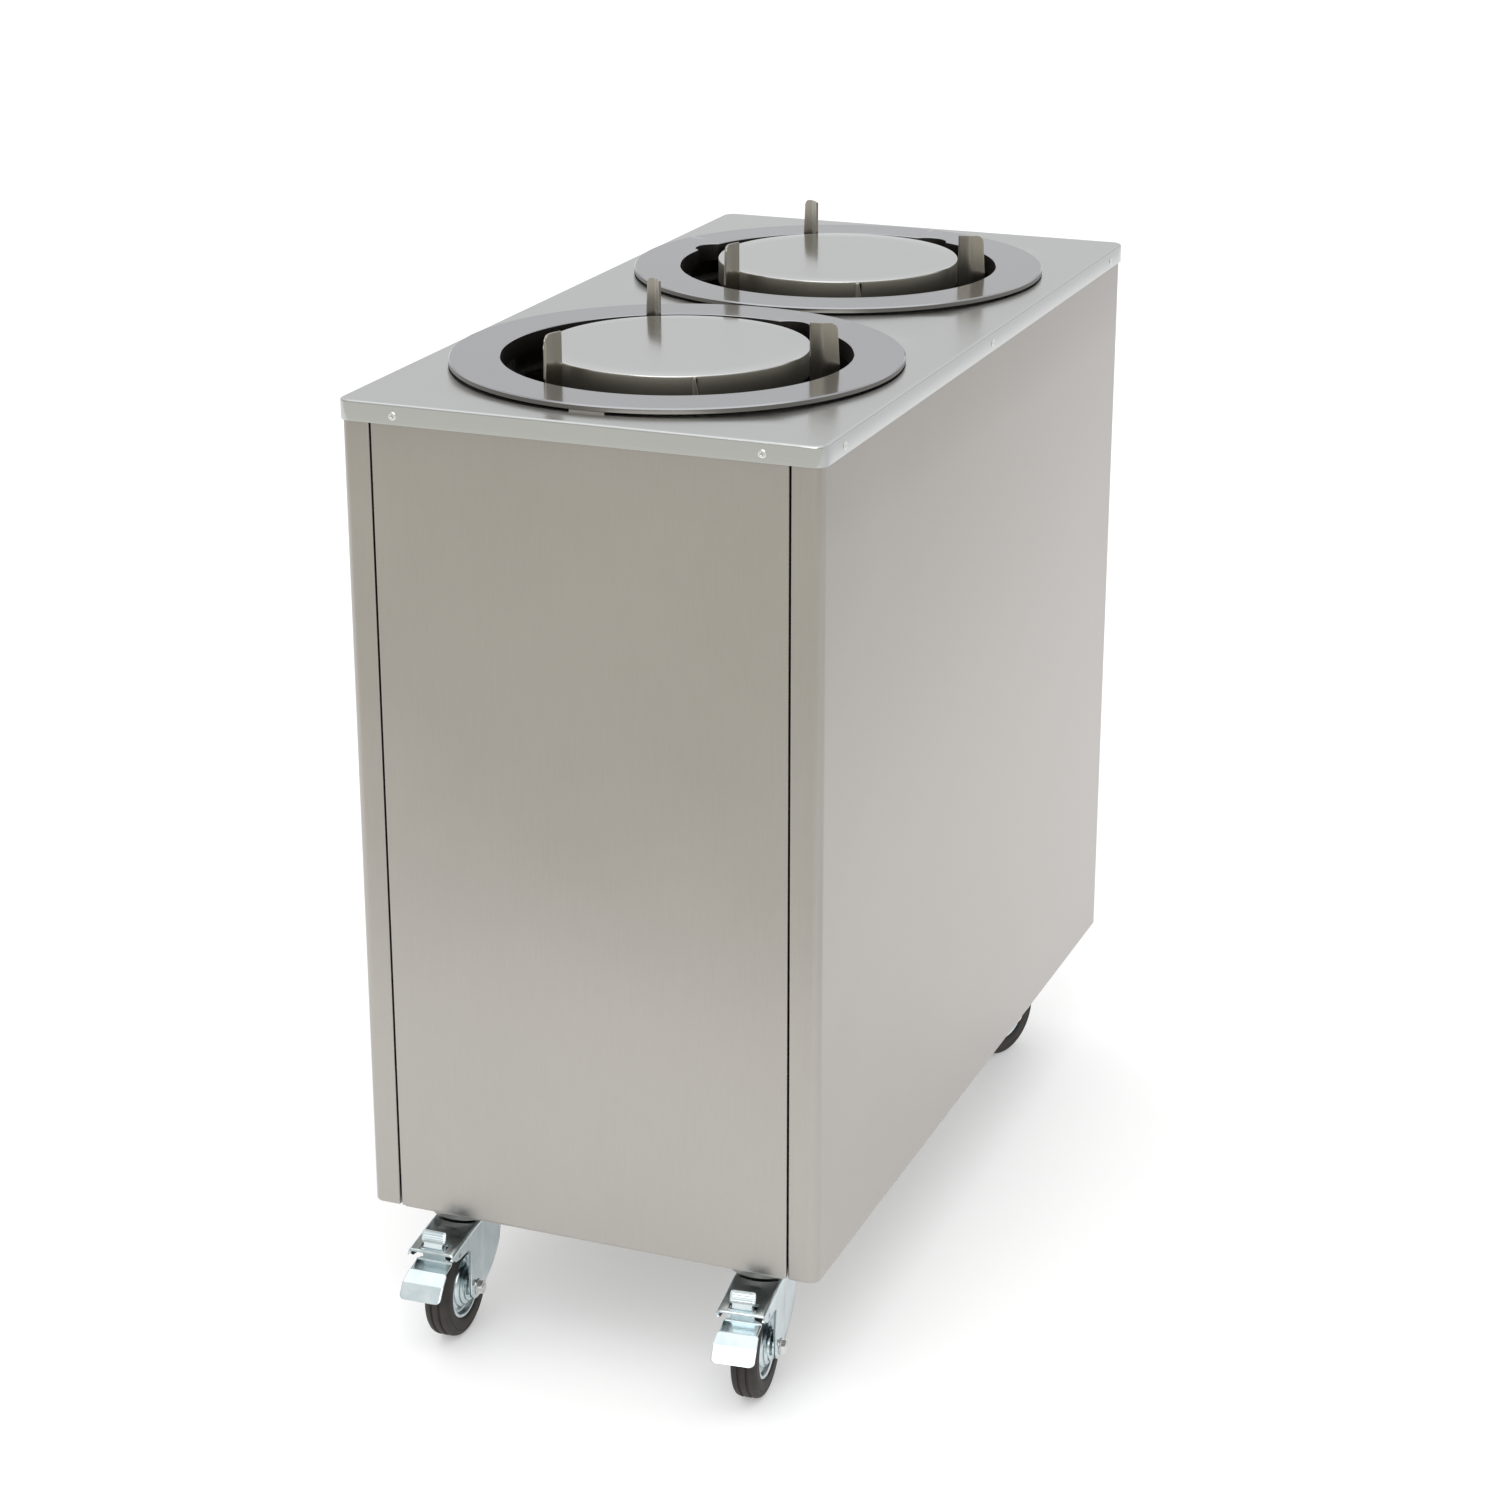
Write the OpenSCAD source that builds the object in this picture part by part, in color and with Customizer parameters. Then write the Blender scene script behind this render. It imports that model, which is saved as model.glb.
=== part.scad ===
// Plate dispenser cart: a sheet steel cabinet on four swivel casters, with two
// sprung wells in its top. Millimetres, +Z up, floor at zero, the brakes face -Y.

/* [Cabinet] */
// Width of the cabinet across its short end
cab_w = 450; // [440:1:560]
// Length of the cabinet
cab_d = 908; // [880:1:1040]
// Height of the cabinet from its bottom edge to the top of the cover
cab_h = 781; // [740:1:860]
// Outer radius of the upright corners
corner_r = 10; // [6:0.5:16]
// Thickness of the side and end panels
sheet_t = 1.2; // [0.8:0.1:2]
// Width of the side panels' return round each corner
return_w = 29; // [27:0.5:45]
// Gap between a side panel's return and the end panel
seam_gap = 1.5; // [0.5:0.1:3]
// Depth of the folds inside the seams
fold_d = 15; // [8:0.5:20]
// Width of the hem that carries the base plate
hem_w = 15; // [8:0.5:15]
// Thickness of the base plate
base_t = 2; // [1.5:0.1:4]

/* [Cover] */
// Thickness of the top cover
cover_t = 1.5; // [1:0.1:2.5]
// Overhang of the cover past the cabinet on each side
cover_over = 2.3; // [1.8:0.1:4]
// Height of the cover's turned down lip
cover_lip = 18.5; // [15:0.5:30]
// Radius of a blind rivet's head
rivet_r = 4; // [3:0.1:5]
// Height of a rivet's head
rivet_h = 1; // [0.5:0.1:2]
// Radius of a rivet's shank
rivet_shank_r = 1.6; // [1.2:0.1:2]
// Distance of the end rivets from the cabinet's sides
rivet_end_in = 53; // [45:1:100]
// Distance of the outer side rivets from the cabinet's ends
rivet_side_in = 48; // [40:1:120]
// Drop of the rivets below the top of the cover
rivet_drop = 10.5; // [9:0.5:13]

/* [Wells] */
// Clearance between a flange ring and the cabinet's side
ring_side = 17; // [16:0.5:40]
// Clearance between a flange ring and the cabinet's end
ring_end = 34; // [24:0.5:50]
// Gap between the two flange rings
ring_gap = 8; // [2:0.5:20]
// Width of a flange ring
ring_w = 47; // [46:0.5:50]
// Overlap of a flange ring on the cover
ring_lap = 22; // [16:0.5:24]
// Height of the ring's top above the cover
ring_h = 6.5; // [4:0.5:12]
// Thickness of the ring's sheet
ring_t = 1.5; // [1:0.1:2.5]
// Height of the ring's outer rim
rim_h = 5; // [3:0.5:8]
// Depth of the collar inside the opening
collar_h = 18; // [12:0.5:24]
// Radius of a finger notch
notch_r = 20.5; // [12:0.5:24]
// Distance of a notch's centre inside the ring's opening
notch_in = 9.5; // [8:0.5:13]
// Direction of the front ring's finger notch in degrees
front_notch_a = 69; // [64:1:76]
// Direction of the rear ring's first finger notch in degrees
rear_notch_a = 72; // [64:1:76]
// Direction of the rear ring's second finger notch in degrees
rear_notch_b = 168; // [160:1:172]
// How far the wells' axes stand to the left of the middle
well_off = 6.8; // [0:0.1:8]
// Width of the rest tab under the front ring
tab_w = 33; // [20:1:50]
// Length of the rest tab
tab_l = 18; // [10:1:22]

/* [Plate carrier] */
// Gap between the carrier's plate and the guide blades
disc_gap = 7; // [6:0.5:16]
// Height of the carrier's plate above the cover at rest
disc_up = 14; // [8:0.5:20]
// Height of the carrier's skirt
skirt_h = 24; // [16:0.5:30]
// Thickness of the carrier's sheet
disc_t = 1.2; // [0.8:0.1:2]
// Radius of the carrier's rolled edge
disc_edge_r = 3; // [2:0.5:6]
// Width of the skirt's three joints
skirt_slot_w = 4.5; // [2:0.5:8]
// Height of the skirt's three joints
skirt_slot_h = 18; // [8:0.5:19]
// Radius of the carrier's central tube
stem_r = 20; // [12:0.5:30]
// Drop of the carrier's spider below the plate
spider_drop = 280.5; // [240:0.5:300]
// Thickness of the spider
spider_t = 3; // [2:0.5:5]
// Travel of the carrier
travel = 430; // [300:5:450]

/* [Guides] */
// Radius of the three guide columns
column_r = 8; // [6:0.5:10]
// Distance of the columns' axes outside the ring's opening
column_out = 11; // [10:0.5:13]
// Length of the carrier's glides
glide_l = 92; // [40:1:120]
// Reach of a guide blade inside the ring's opening
blade_reach = 32; // [31:0.5:35]
// Height of the guide blades above the cover
blade_up = 45; // [30:1:60]
// Thickness of a guide blade
blade_t = 2; // [1.5:0.1:3]
// Length of a blade's inner leaf
leaf_in = 12; // [8:0.5:13]
// Length of a blade's outer leaf at its top
leaf_out = 13.3; // [12:0.1:14]
// Radius of the blade's rounded top corner
blade_corner_r = 7; // [3:0.5:9]
// Radius of the rods that the blades turn on
rod_r = 3; // [2:0.1:3.5]
// Radius of a return spring's coil
spring_r = 8; // [6:0.5:9]

/* [Casters] */
// Radius of the wheels
wheel_r = 50; // [48:0.5:52]
// Width of a tyre
tyre_w = 25; // [22:0.5:28]
// Height of the tyre's section over the steel rim
tyre_wall = 17.8; // [14:0.1:20]
// Distance of the axle behind the swivel axis
trail = 37; // [34:0.5:39]
// Width of a fork
fork_w = 47; // [45:0.5:52]
// Thickness of a fork's sheet
fork_t = 3; // [2:0.1:3.5]
// Radius of the swivel head
race_r = 38; // [34:0.5:40]
// Height of the swivel head
race_h = 17; // [14:0.5:20]
// Length of a mounting plate
plate_l = 105; // [100:1:108]
// Width of a mounting plate
plate_w = 85; // [80:1:88]
// Thickness of a mounting plate
plate_t = 3.2; // [2.5:0.1:5]
// Radius of a caster bolt
bolt_r = 4; // [3:0.5:5]
// Distance of the swivel axes from the cabinet's sides
swivel_side = 71.5; // [69:0.5:85]
// Distance of the swivel axes from the cabinet's ends
swivel_end = 59; // [58:0.5:75]
// Turn of the front left caster in degrees
turn_fl = 2.5; // [-20:0.5:20]
// Turn of the front right caster in degrees
turn_fr = 6; // [-20:0.5:20]
// Turn of the rear left caster in degrees
turn_rl = -9; // [-20:0.5:20]
// Turn of the rear right caster in degrees
turn_rr = -20; // [-20:0.5:20]

/* [Brakes] */
// Width of the pedal
pedal_w = 41; // [34:0.5:44]
// Width of the release tab
release_w = 23.7; // [16:0.1:26]
// Thickness of the pedal's sheet
pedal_t = 2; // [1.5:0.1:2.5]
// Radius of the pedal's pin
pin_r = 2.5; // [1.5:0.1:3]

/* [Hidden] */
$fn = 96;

// Overrun of every cut past the face that it starts from
over = 1;
// Radial play of a turning or sliding fit and of a plain hole
run_fit = 0.08;
hole_fit = 0.05;
// Gap between pieces that move past each other
gap = 0.3;

// Middle lines of the cabinet's sides, of its casters and of its wells
half_w = cab_w / 2;
half_d = cab_d / 2;
swivel_x = half_w - swivel_side;
swivel_y = half_d - swivel_end;
rivet_end_x = half_w - rivet_end_in;
rivet_side_y = half_d - rivet_side_in;
ring_r = min(half_w - ring_side, (half_d - ring_end - ring_gap / 2) / 2);
well_x = -well_off;
well_y = half_d - ring_end - ring_r;
cover_hole_r = ring_r - ring_lap;
open_r = ring_r - ring_w;
notch_at = open_r - notch_in;
column_at = open_r + column_out;
blade_in = open_r - blade_reach;
disc_r = blade_in - disc_gap;

// Heights of the casters, then of the cabinet that stands on them
fork_shares = [[-1.20, 2.33], [0, 2.33], [1.10, 2.22], [1.07, 2.108], [0.98, 2.03],
    [0.83, 2.002], [0.406, 1.984], [0.30, 1.90], [0.30, 0.98], [0.252, 0.882], [0.02, 0.812],
    [-0.14, 0.852], [-0.344, 0.908], [-0.678, 1.076], [-0.932, 1.268], [-1.112, 1.502],
    [-1.166, 1.708]];
plain_fork_shares = [[-1.20, 2.33], [0.10, 2.33], [0.34, 2.20], [0.36, 2.04],
    [0.30, 1.90], [0.30, 0.98], [0.252, 0.882], [0.02, 0.812],
    [-0.14, 0.852], [-0.344, 0.908], [-0.678, 1.076], [-0.932, 1.268], [-1.112, 1.502],
    [-1.166, 1.708]];
crown_z = fork_shares[0][1] * wheel_r;
head_z = crown_z + race_h;
base_z = head_z + plate_t;
cab_z = base_z - sheet_t;
floor_z = base_z + base_t;
cover_z = cab_z + cab_h;
under_z = cover_z - cover_t;
ring_z = cover_z + ring_h;

// Middle of the whole cart's outline, from the pedals' tips to the cover's rear edge
pedal_shares = [[0.86, 2.55], [0.94, 2.33], [0.96, 2.22], [0.91, 1.93], [1.23, 1.86],
    [1.48, 1.69], [1.66, 1.46]];
pedal_round = 5;
tip_d = (pedal_shares[6] - pedal_shares[5]) / norm(pedal_shares[6] - pedal_shares[5]);
tip_out = pedal_shares[6][0] * wheel_r - pedal_t / 2 * tip_d[1];
function reach(a) = (trail + tip_out - pedal_round * tip_d[0]) * cos(a)
    + (pedal_w / 2 - pedal_round) * abs(sin(a))
    + norm([pedal_round * sin(a), pedal_round * tip_d[0] * cos(a)]);
front_reach = swivel_y + max(reach(turn_fl), reach(turn_fr));
rear_reach = cab_d / 2 + cover_over + rivet_h;
mid_y = (front_reach - rear_reach) / 2;

// Folds and frame of the cabinet
seam_x = half_w - return_w;
rail_w = 20;
rail_t = 2;
post_w = 25;
post_t = 3;
cross_w = 30;

// Wells
well_dirs = [60, 180, 300];
tab_turn = 1;
blade_dirs = [0, 120, 240];
hoop_t = 3;
hoop_w = 18;
hoop_drop = 29.5;
hoop_top = cover_z - hoop_drop;
hoop_z = hoop_top - hoop_t;
hoop_in = column_at - column_r + rail_t;
cage_base_t = 3;
cage_base_up = 22;
cage_base_z = floor_z + cage_base_up;
cage_base_in = blade_in + leaf_in;
cage_base_out = hoop_in + hoop_w;
disc_z = cover_z + disc_up;
spider_z = disc_z - spider_drop;
arm_w = 30;
pad_rim = 5;
glide_wall = 3.7;
glide_r = column_r + gap + glide_wall;
spring_turn = 10.5;
spring_wire = 2;
stem_t = 1.5;
stem_flange_r = 45;
stem_flange_t = 3;

// Guide blades: two leaves folded along a soft line, turning on the rod at the outer edge
leaf_in_a = 7.5;
leaf_out_a = 31;
leaf_taper = 1.9;
taper_h = 38;
fold_x = blade_in + leaf_in * cos(leaf_in_a);
fold_y = leaf_in * sin(leaf_in_a);
rod_back = 2.1;
rod_x = fold_x + (leaf_out - rod_back) * cos(leaf_out_a);
rod_y = fold_y + (leaf_out - rod_back) * sin(leaf_out_a);
barrel_r = rod_r + blade_t;
ear_r = rod_r + 4 * run_fit + post_t;
ear_clear = gap + over;
rod_over = 3;

// Wheels
bore_r = 6;
axle_r = 4;
hub_r = 10;
rim_r = wheel_r - tyre_wall;
rim_w = 21;
rim_lip_t = 1.5;
rim_drop = 2.2;
dish_in = 5.7;
dish_r = rim_r - dish_in;
dish_x = 7;
groove_w = 1.2;
groove_d = 1.2;
groove_x = 3.8;
nut_r = 7;
nut_h = 5;
kingpin_r = 6;
kingpin_head_r = 11;
kingpin_head_h = 4;
race_wall = 2;
race_lift = 1.5;
lower_race_h = 8;
bolt_dx = 80;
bolt_dy = 60;
bolt_head_r = 7.4;
bolt_head_h = 5.3;
pad_l = 100;
pad_w = 84;
pad_t = 3;
window_shares = [0.76, 1.052];
window_in = window_shares[0] * wheel_r;
window_out = window_shares[1] * wheel_r;
window_w = 26.4;
neck_w = 18.5;
web_w = 22;
flat_w = 35.7;
upper_pedal_w = 38.5;
pin_shares = [0.80, 2.09];
ear_x = 14;
ear_t = 2;
ear_pad = 2.4;
shoe_w = 18;
shoe_shares = [[0.87, 1.80], [0.772, 1.712], [0.74, 1.732], [0.78, 1.985]];
shoe_grip_share = 0.18;

echo(mid_y = mid_y, well_x = well_x, cover_z = cover_z, cab_z = cab_z, floor_z = floor_z, disc_z = disc_z);
echo(hoop_z = hoop_z, spider_z = spider_z, rod_x = rod_x, rod_y = rod_y, head_z = head_z);
echo(pin = pin_shares * wheel_r, cage_base_z = cage_base_z, glide_r = glide_r);

// A rectangle about the origin with round corners
module round_rect(w, d, r) {
    square([w - 2 * r, d], center = true);
    square([w, d - 2 * r], center = true);
    for (x = [-1, 1], y = [-1, 1])
        translate([x * (w / 2 - r), y * (d / 2 - r)])
            circle(r);
}

// Everything is drawn about the cabinet's middle and moved onto the cart's own origin
module on_cart() {
    translate([0, mid_y, 0])
        children();
}

module at_well(side) {
    on_cart()
        translate([well_x, side * well_y, 0])
            children();
}

// Rivets and their holes, along the outward direction of each face of the lip
module at_rivets() {
    for (s = [-1, 1], x = [-1, 1])
        translate([x * rivet_end_x, s * (half_d + cover_over), cover_z - rivet_drop])
            rotate([-s * 90, 0, 0])
                children();
    for (s = [-1, 1], y = [-1, 0, 1])
        translate([s * (half_w + cover_over), y * rivet_side_y, cover_z - rivet_drop])
            rotate([0, s * 90, 0])
                children();
}

rivet_grip = cover_over + sheet_t + rail_t + over;

module rivet_holes() {
    at_rivets()
        translate([0, 0, -rivet_grip])
            cylinder(r = rivet_shank_r + hole_fit, h = rivet_grip + over);
}

// Top cover: a flat sheet with a turned down lip and two round openings
module top_cover() {
    lip_w = cab_w + 2 * cover_over;
    lip_d = cab_d + 2 * cover_over;
    lip_r = corner_r + cover_over;
    color("lightgray")
        on_cart()
            difference() {
                translate([0, 0, cover_z - cover_lip])
                    linear_extrude(cover_lip)
                        round_rect(lip_w, lip_d, lip_r);
                translate([0, 0, cover_z - cover_lip - over])
                    linear_extrude(cover_lip - cover_t + over)
                        round_rect(lip_w - 2 * cover_t, lip_d - 2 * cover_t, lip_r - cover_t);
                for (s = [-1, 1])
                    translate([well_x, s * well_y, under_z - over])
                        cylinder(r = cover_hole_r, h = cover_t + 2 * over);
                rivet_holes();
            }
}

module skin_profile() {
    difference() {
        round_rect(cab_w, cab_d, corner_r);
        round_rect(cab_w - 2 * sheet_t, cab_d - 2 * sheet_t, corner_r - sheet_t);
    }
}

// Side panel: wraps both corners, folds in at the seams and has a hem at the bottom
module side_panel(s) {
    edge_x = seam_x + seam_gap / 2;
    skin_w = half_w - edge_x;
    color("silver")
        on_cart()
            difference() {
                union() {
                    translate([0, 0, cab_z])
                        linear_extrude(under_z - cab_z)
                            intersection() {
                                skin_profile();
                                translate([s > 0 ? edge_x : -half_w - over, -half_d - over])
                                    square([skin_w + over, cab_d + 2 * over]);
                            }
                    for (y = [-1, 1])
                        translate([s * (edge_x + sheet_t / 2), y * (half_d - fold_d / 2),
                                (cab_z + under_z - rail_w) / 2])
                            cube([sheet_t, fold_d, under_z - rail_w - cab_z], center = true);
                    translate([s * (half_w - (hem_w + sheet_t) / 2), 0, cab_z + sheet_t / 2])
                        cube([hem_w, cab_d - 2 * corner_r, sheet_t], center = true);
                }
                rivet_holes();
            }
}

// End panel: a flat sheet with folds at its edges and a hem at the bottom
module end_panel(s) {
    edge_x = seam_x - seam_gap / 2;
    color("silver")
        on_cart()
            difference() {
                union() {
                    translate([0, s * (half_d - sheet_t / 2), (cab_z + under_z) / 2])
                        cube([2 * edge_x, sheet_t, under_z - cab_z], center = true);
                    for (x = [-1, 1])
                        translate([x * (edge_x - sheet_t / 2), s * (half_d - fold_d / 2),
                                (cab_z + under_z - rail_w) / 2])
                            cube([sheet_t, fold_d, under_z - rail_w - cab_z], center = true);
                    translate([0, s * (half_d - (hem_w + sheet_t) / 2), cab_z + sheet_t / 2])
                        cube([2 * edge_x, hem_w, sheet_t], center = true);
                }
                rivet_holes();
            }
}

module at_casters() {
    for (x = [-1, 1], y = [-1, 1])
        translate([x * swivel_x, y * swivel_y, 0])
            children();
}

module bolt_holes(r, z, h) {
    at_casters()
        for (x = [-1, 1], y = [-1, 1])
            translate([x * bolt_dx / 2, y * bolt_dy / 2, z])
                cylinder(r = r, h = h);
}

// Base plate: lies on the hems and carries the wells and the casters
module base_plate() {
    inset = 2 * sheet_t + 2 * gap;
    color("darkgray")
        on_cart()
            difference() {
                translate([0, 0, base_z])
                    linear_extrude(base_t)
                        difference() {
                            round_rect(cab_w - inset, cab_d - inset, corner_r);
                            for (x = [-1, 1], y = [-1, 1])
                                translate([x * seam_x, y * half_d])
                                    square([2 * (seam_gap + 2 * sheet_t), 2 * (fold_d + gap)], center = true);
                        }
                bolt_holes(bolt_r + hole_fit, base_z - over, base_t + 2 * over);
            }
}

module rail(l) {
    difference() {
        cube([l, rail_w, rail_w], center = true);
        cube([l + 2 * over, rail_w - 2 * rail_t, rail_w - 2 * rail_t], center = true);
    }
}

// Frame inside the panels: four corner posts, four top rails and the rail between the wells,
// each a hair's gap from the next where they are welded
module inner_frame() {
    post_in = corner_r - sheet_t;
    side_x = half_w - sheet_t;
    end_y = half_d - sheet_t;
    color("gray")
        on_cart() {
            for (x = [-1, 1], y = [-1, 1])
                translate([x * side_x, y * end_y, floor_z])
                    mirror([x > 0 ? 1 : 0, 0, 0])
                        mirror([0, y > 0 ? 1 : 0, 0])
                            linear_extrude(under_z - floor_z)
                                polygon([[post_in, 0], [post_w, 0], [post_w, post_t],
                                    [post_in + post_t / 2, post_t], [post_t, post_in + post_t / 2],
                                    [post_t, post_w], [0, post_w], [0, post_in]]);
            difference() {
                for (s = [-1, 1])
                    translate([s * (side_x - rail_w / 2), 0, under_z - rail_w / 2])
                        rotate([0, 0, 90])
                            rail(2 * (end_y - post_w - hole_fit));
                rivet_holes();
            }
            difference() {
                for (s = [-1, 1])
                    translate([0, s * (end_y - rail_w / 2), under_z - rail_w / 2])
                        rail(2 * (seam_x - seam_gap - sheet_t));
                rivet_holes();
            }
            translate([0, 0, under_z - rail_w / 2])
                difference() {
                    cube([2 * (side_x - rail_w - hole_fit), cross_w, rail_w], center = true);
                    cube([2 * side_x, cross_w - 2 * rail_t, rail_w - 2 * rail_t], center = true);
                }
        }
}

// Pads over the base plate that spread the casters' load
module caster_pads() {
    color("gray")
        on_cart()
            difference() {
                at_casters()
                    translate([0, 0, floor_z + pad_t / 2])
                        cube([pad_l, pad_w, pad_t], center = true);
                bolt_holes(bolt_r + hole_fit, floor_z - over, pad_t + 2 * over);
            }
}

// Blind rivets of the lip: a low head with a pierced middle, a shank and a swelled tail
module cover_rivets() {
    color("gainsboro")
        on_cart()
            at_rivets()
                difference() {
                    union() {
                        cylinder(r = rivet_r, h = rivet_h / 2);
                        translate([0, 0, rivet_h / 2])
                            cylinder(r1 = rivet_r, r2 = rivet_r - rivet_h / 2, h = rivet_h / 2);
                        translate([0, 0, over - rivet_grip])
                            cylinder(r = rivet_shank_r, h = rivet_grip);
                        translate([0, 0, over - rivet_grip - rivet_shank_r])
                            cylinder(r = rivet_shank_r * 3 / 2, h = rivet_shank_r);
                    }
                    translate([0, 0, -rivet_h])
                        cylinder(r = rivet_shank_r * 3 / 4, h = 2 * rivet_h + over);
                }
}

// Flat opening of a well with its finger notches, grown by e
module opening(notches, e) {
    circle(open_r + e);
    for (a = notches)
        rotate([0, 0, a])
            translate([notch_at, 0])
                circle(notch_r + e);
}

// Flange ring: a flat ring with an outer rim and a collar round the notched opening
module well_ring(side, notches) {
    color("silver")
        at_well(side) {
            difference() {
                union() {
                    translate([0, 0, ring_z - rim_h])
                        cylinder(r = ring_r, h = rim_h, $fn = 180);
                    translate([0, 0, ring_z - collar_h])
                        linear_extrude(collar_h)
                            opening(notches, ring_t);
                }
                translate([0, 0, ring_z - collar_h - over])
                    linear_extrude(collar_h + 2 * over)
                        opening(notches, 0);
                difference() {
                    translate([0, 0, ring_z - rim_h - over])
                        cylinder(r = ring_r - ring_t, h = rim_h - ring_t + over, $fn = 180);
                    translate([0, 0, ring_z - rim_h - 2 * over])
                        linear_extrude(rim_h + 2 * over)
                            opening(notches, ring_t);
                }
            }
        }
}

// Rest tab between the cover and the front ring's rim
module front_ring_tab() {
    tab_h = ring_h - rim_h;
    color("dimgray")
        at_well(-1)
            rotate([0, 0, tab_turn])
                translate([-tab_w / 2, -ring_r - cover_t, cover_z])
                    cube([tab_w, tab_l, tab_h]);
}

// Upper hoop of the well's cage with three ears for the blade rods
module cage_hoop(side) {
    color("gray")
        at_well(side)
            translate([0, 0, hoop_z])
                difference() {
                    linear_extrude(hoop_t)
                        difference() {
                            union() {
                                difference() {
                                    circle(hoop_in + hoop_w, $fn = 180);
                                    circle(hoop_in, $fn = 180);
                                }
                                for (a = blade_dirs)
                                    rotate([0, 0, a]) {
                                        translate([rod_x, rod_y])
                                            circle(ear_r);
                                        translate([rod_x, rod_y - ear_r])
                                            square([hoop_in - rod_x + hoop_t, 2 * ear_r]);
                                    }
                            }
                            for (a = blade_dirs)
                                rotate([0, 0, a])
                                    translate([rod_x, rod_y])
                                        circle(rod_r + hole_fit);
                            for (a = well_dirs)
                                rotate([0, 0, a])
                                    translate([column_at, 0])
                                        circle(column_r + hole_fit);
                        }
                }
}

// Columns from the base plate to the flange ring: they carry the ring and guide the carrier
module guide_columns(side) {
    color("lightgray")
        at_well(side)
            for (a = well_dirs)
                rotate([0, 0, a])
                    translate([column_at, 0, floor_z])
                        difference() {
                            cylinder(r = column_r, h = ring_z - ring_t - floor_z);
                            translate([0, 0, -over])
                                cylinder(r = column_r - stem_t, h = ring_z - floor_z + 2 * over);
                        }
}

// Lower ring of the cage, which spaces the columns and holds the rods' feet
module cage_base(side) {
    color("gray")
        at_well(side)
            translate([0, 0, cage_base_z])
                linear_extrude(cage_base_t)
                    difference() {
                        circle(cage_base_out, $fn = 180);
                        circle(cage_base_in, $fn = 180);
                        for (a = blade_dirs)
                            rotate([0, 0, a])
                                translate([rod_x, rod_y])
                                    circle(rod_r + hole_fit);
                        for (a = well_dirs)
                            rotate([0, 0, a])
                                translate([column_at, 0])
                                    circle(column_r + hole_fit);
                    }
}

module blade_rods(side) {
    color("lightgray")
        at_well(side)
            for (a = blade_dirs)
                rotate([0, 0, a])
                    translate([rod_x, rod_y, cage_base_z])
                        cylinder(r = rod_r, h = hoop_top + rod_over - cage_base_z);
}

// Return springs, hung from the hoop, at their length with the carrier up
module springs(side) {
    spring_z = spider_z + spider_t + hole_fit;
    color("dimgray")
        at_well(side)
            for (a = well_dirs)
                rotate([0, 0, a + spring_turn])
                    translate([column_at, 0, spring_z])
                        difference() {
                            cylinder(r = spring_r, h = hoop_z - spring_z);
                            translate([0, 0, -over])
                                cylinder(r = spring_r - spring_wire, h = hoop_z - spring_z + 2 * over);
                        }
}

module cup_profile(r, h, e) {
    square([r - e, h]);
    square([r, h - e]);
    translate([r - e, h - e])
        circle(e);
}

// Carrier plate: a round plate with a rolled edge and a skirt with three joints
module carrier_plate(side) {
    color("silver")
        at_well(side)
            translate([0, 0, disc_z - skirt_h])
                difference() {
                    rotate_extrude($fn = 180)
                        intersection() {
                            cup_profile(disc_r, skirt_h, disc_edge_r);
                            square([disc_r, skirt_h]);
                        }
                    translate([0, 0, -over])
                        rotate_extrude($fn = 180)
                            intersection() {
                                cup_profile(disc_r - disc_t, skirt_h - disc_t + over, disc_edge_r - disc_t);
                                square([disc_r, skirt_h]);
                            }
                    for (a = well_dirs)
                        rotate([0, 0, a])
                            translate([disc_r - disc_edge_r, -skirt_slot_w / 2, -over])
                                cube([2 * disc_edge_r, skirt_slot_w, skirt_slot_h + over]);
                }
}

// Stem under the plate with a flange at its top
module carrier_stem(side) {
    stem_h = disc_z - disc_t - spider_z - spider_t;
    color("lightgray")
        at_well(side)
            translate([0, 0, spider_z + spider_t])
                difference() {
                    union() {
                        cylinder(r = stem_r, h = stem_h);
                        translate([0, 0, stem_h - stem_flange_t])
                            cylinder(r = stem_flange_r, h = stem_flange_t);
                    }
                    translate([0, 0, -over])
                        cylinder(r = stem_r - stem_t, h = stem_h + 2 * over);
                }
}

// Spider: a hub with three arms to the columns, each with a wing for a spring
module carrier_spider(side) {
    color("gray")
        at_well(side)
            translate([0, 0, spider_z])
                linear_extrude(spider_t)
                    difference() {
                        union() {
                            circle(stem_flange_r);
                            for (a = well_dirs) {
                                rotate([0, 0, a]) {
                                    translate([0, -arm_w / 2])
                                        square([column_at, arm_w]);
                                    translate([column_at, 0])
                                        circle(glide_r + pad_rim);
                                }
                                rotate([0, 0, a + spring_turn])
                                    translate([column_at, 0])
                                        circle(spring_r + spring_wire);
                                rotate([0, 0, a + spring_turn / 2])
                                    translate([column_at - spring_r, -arm_w / 2])
                                        square([spring_r, arm_w]);
                            }
                        }
                        for (a = well_dirs)
                            rotate([0, 0, a])
                                translate([column_at, 0])
                                    circle(glide_r + hole_fit);
                    }
}

// Glides: plastic sleeves that run on the columns
module carrier_glides(side) {
    glide_z = spider_z - 2 * pad_rim;
    color("whitesmoke")
        at_well(side)
            for (a = well_dirs)
                rotate([0, 0, a])
                    translate([column_at, 0, glide_z])
                        difference() {
                            cylinder(r = glide_r, h = glide_l);
                            translate([0, 0, -over])
                                cylinder(r = column_r + gap, h = glide_l + 2 * over);
                        }
}

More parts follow.
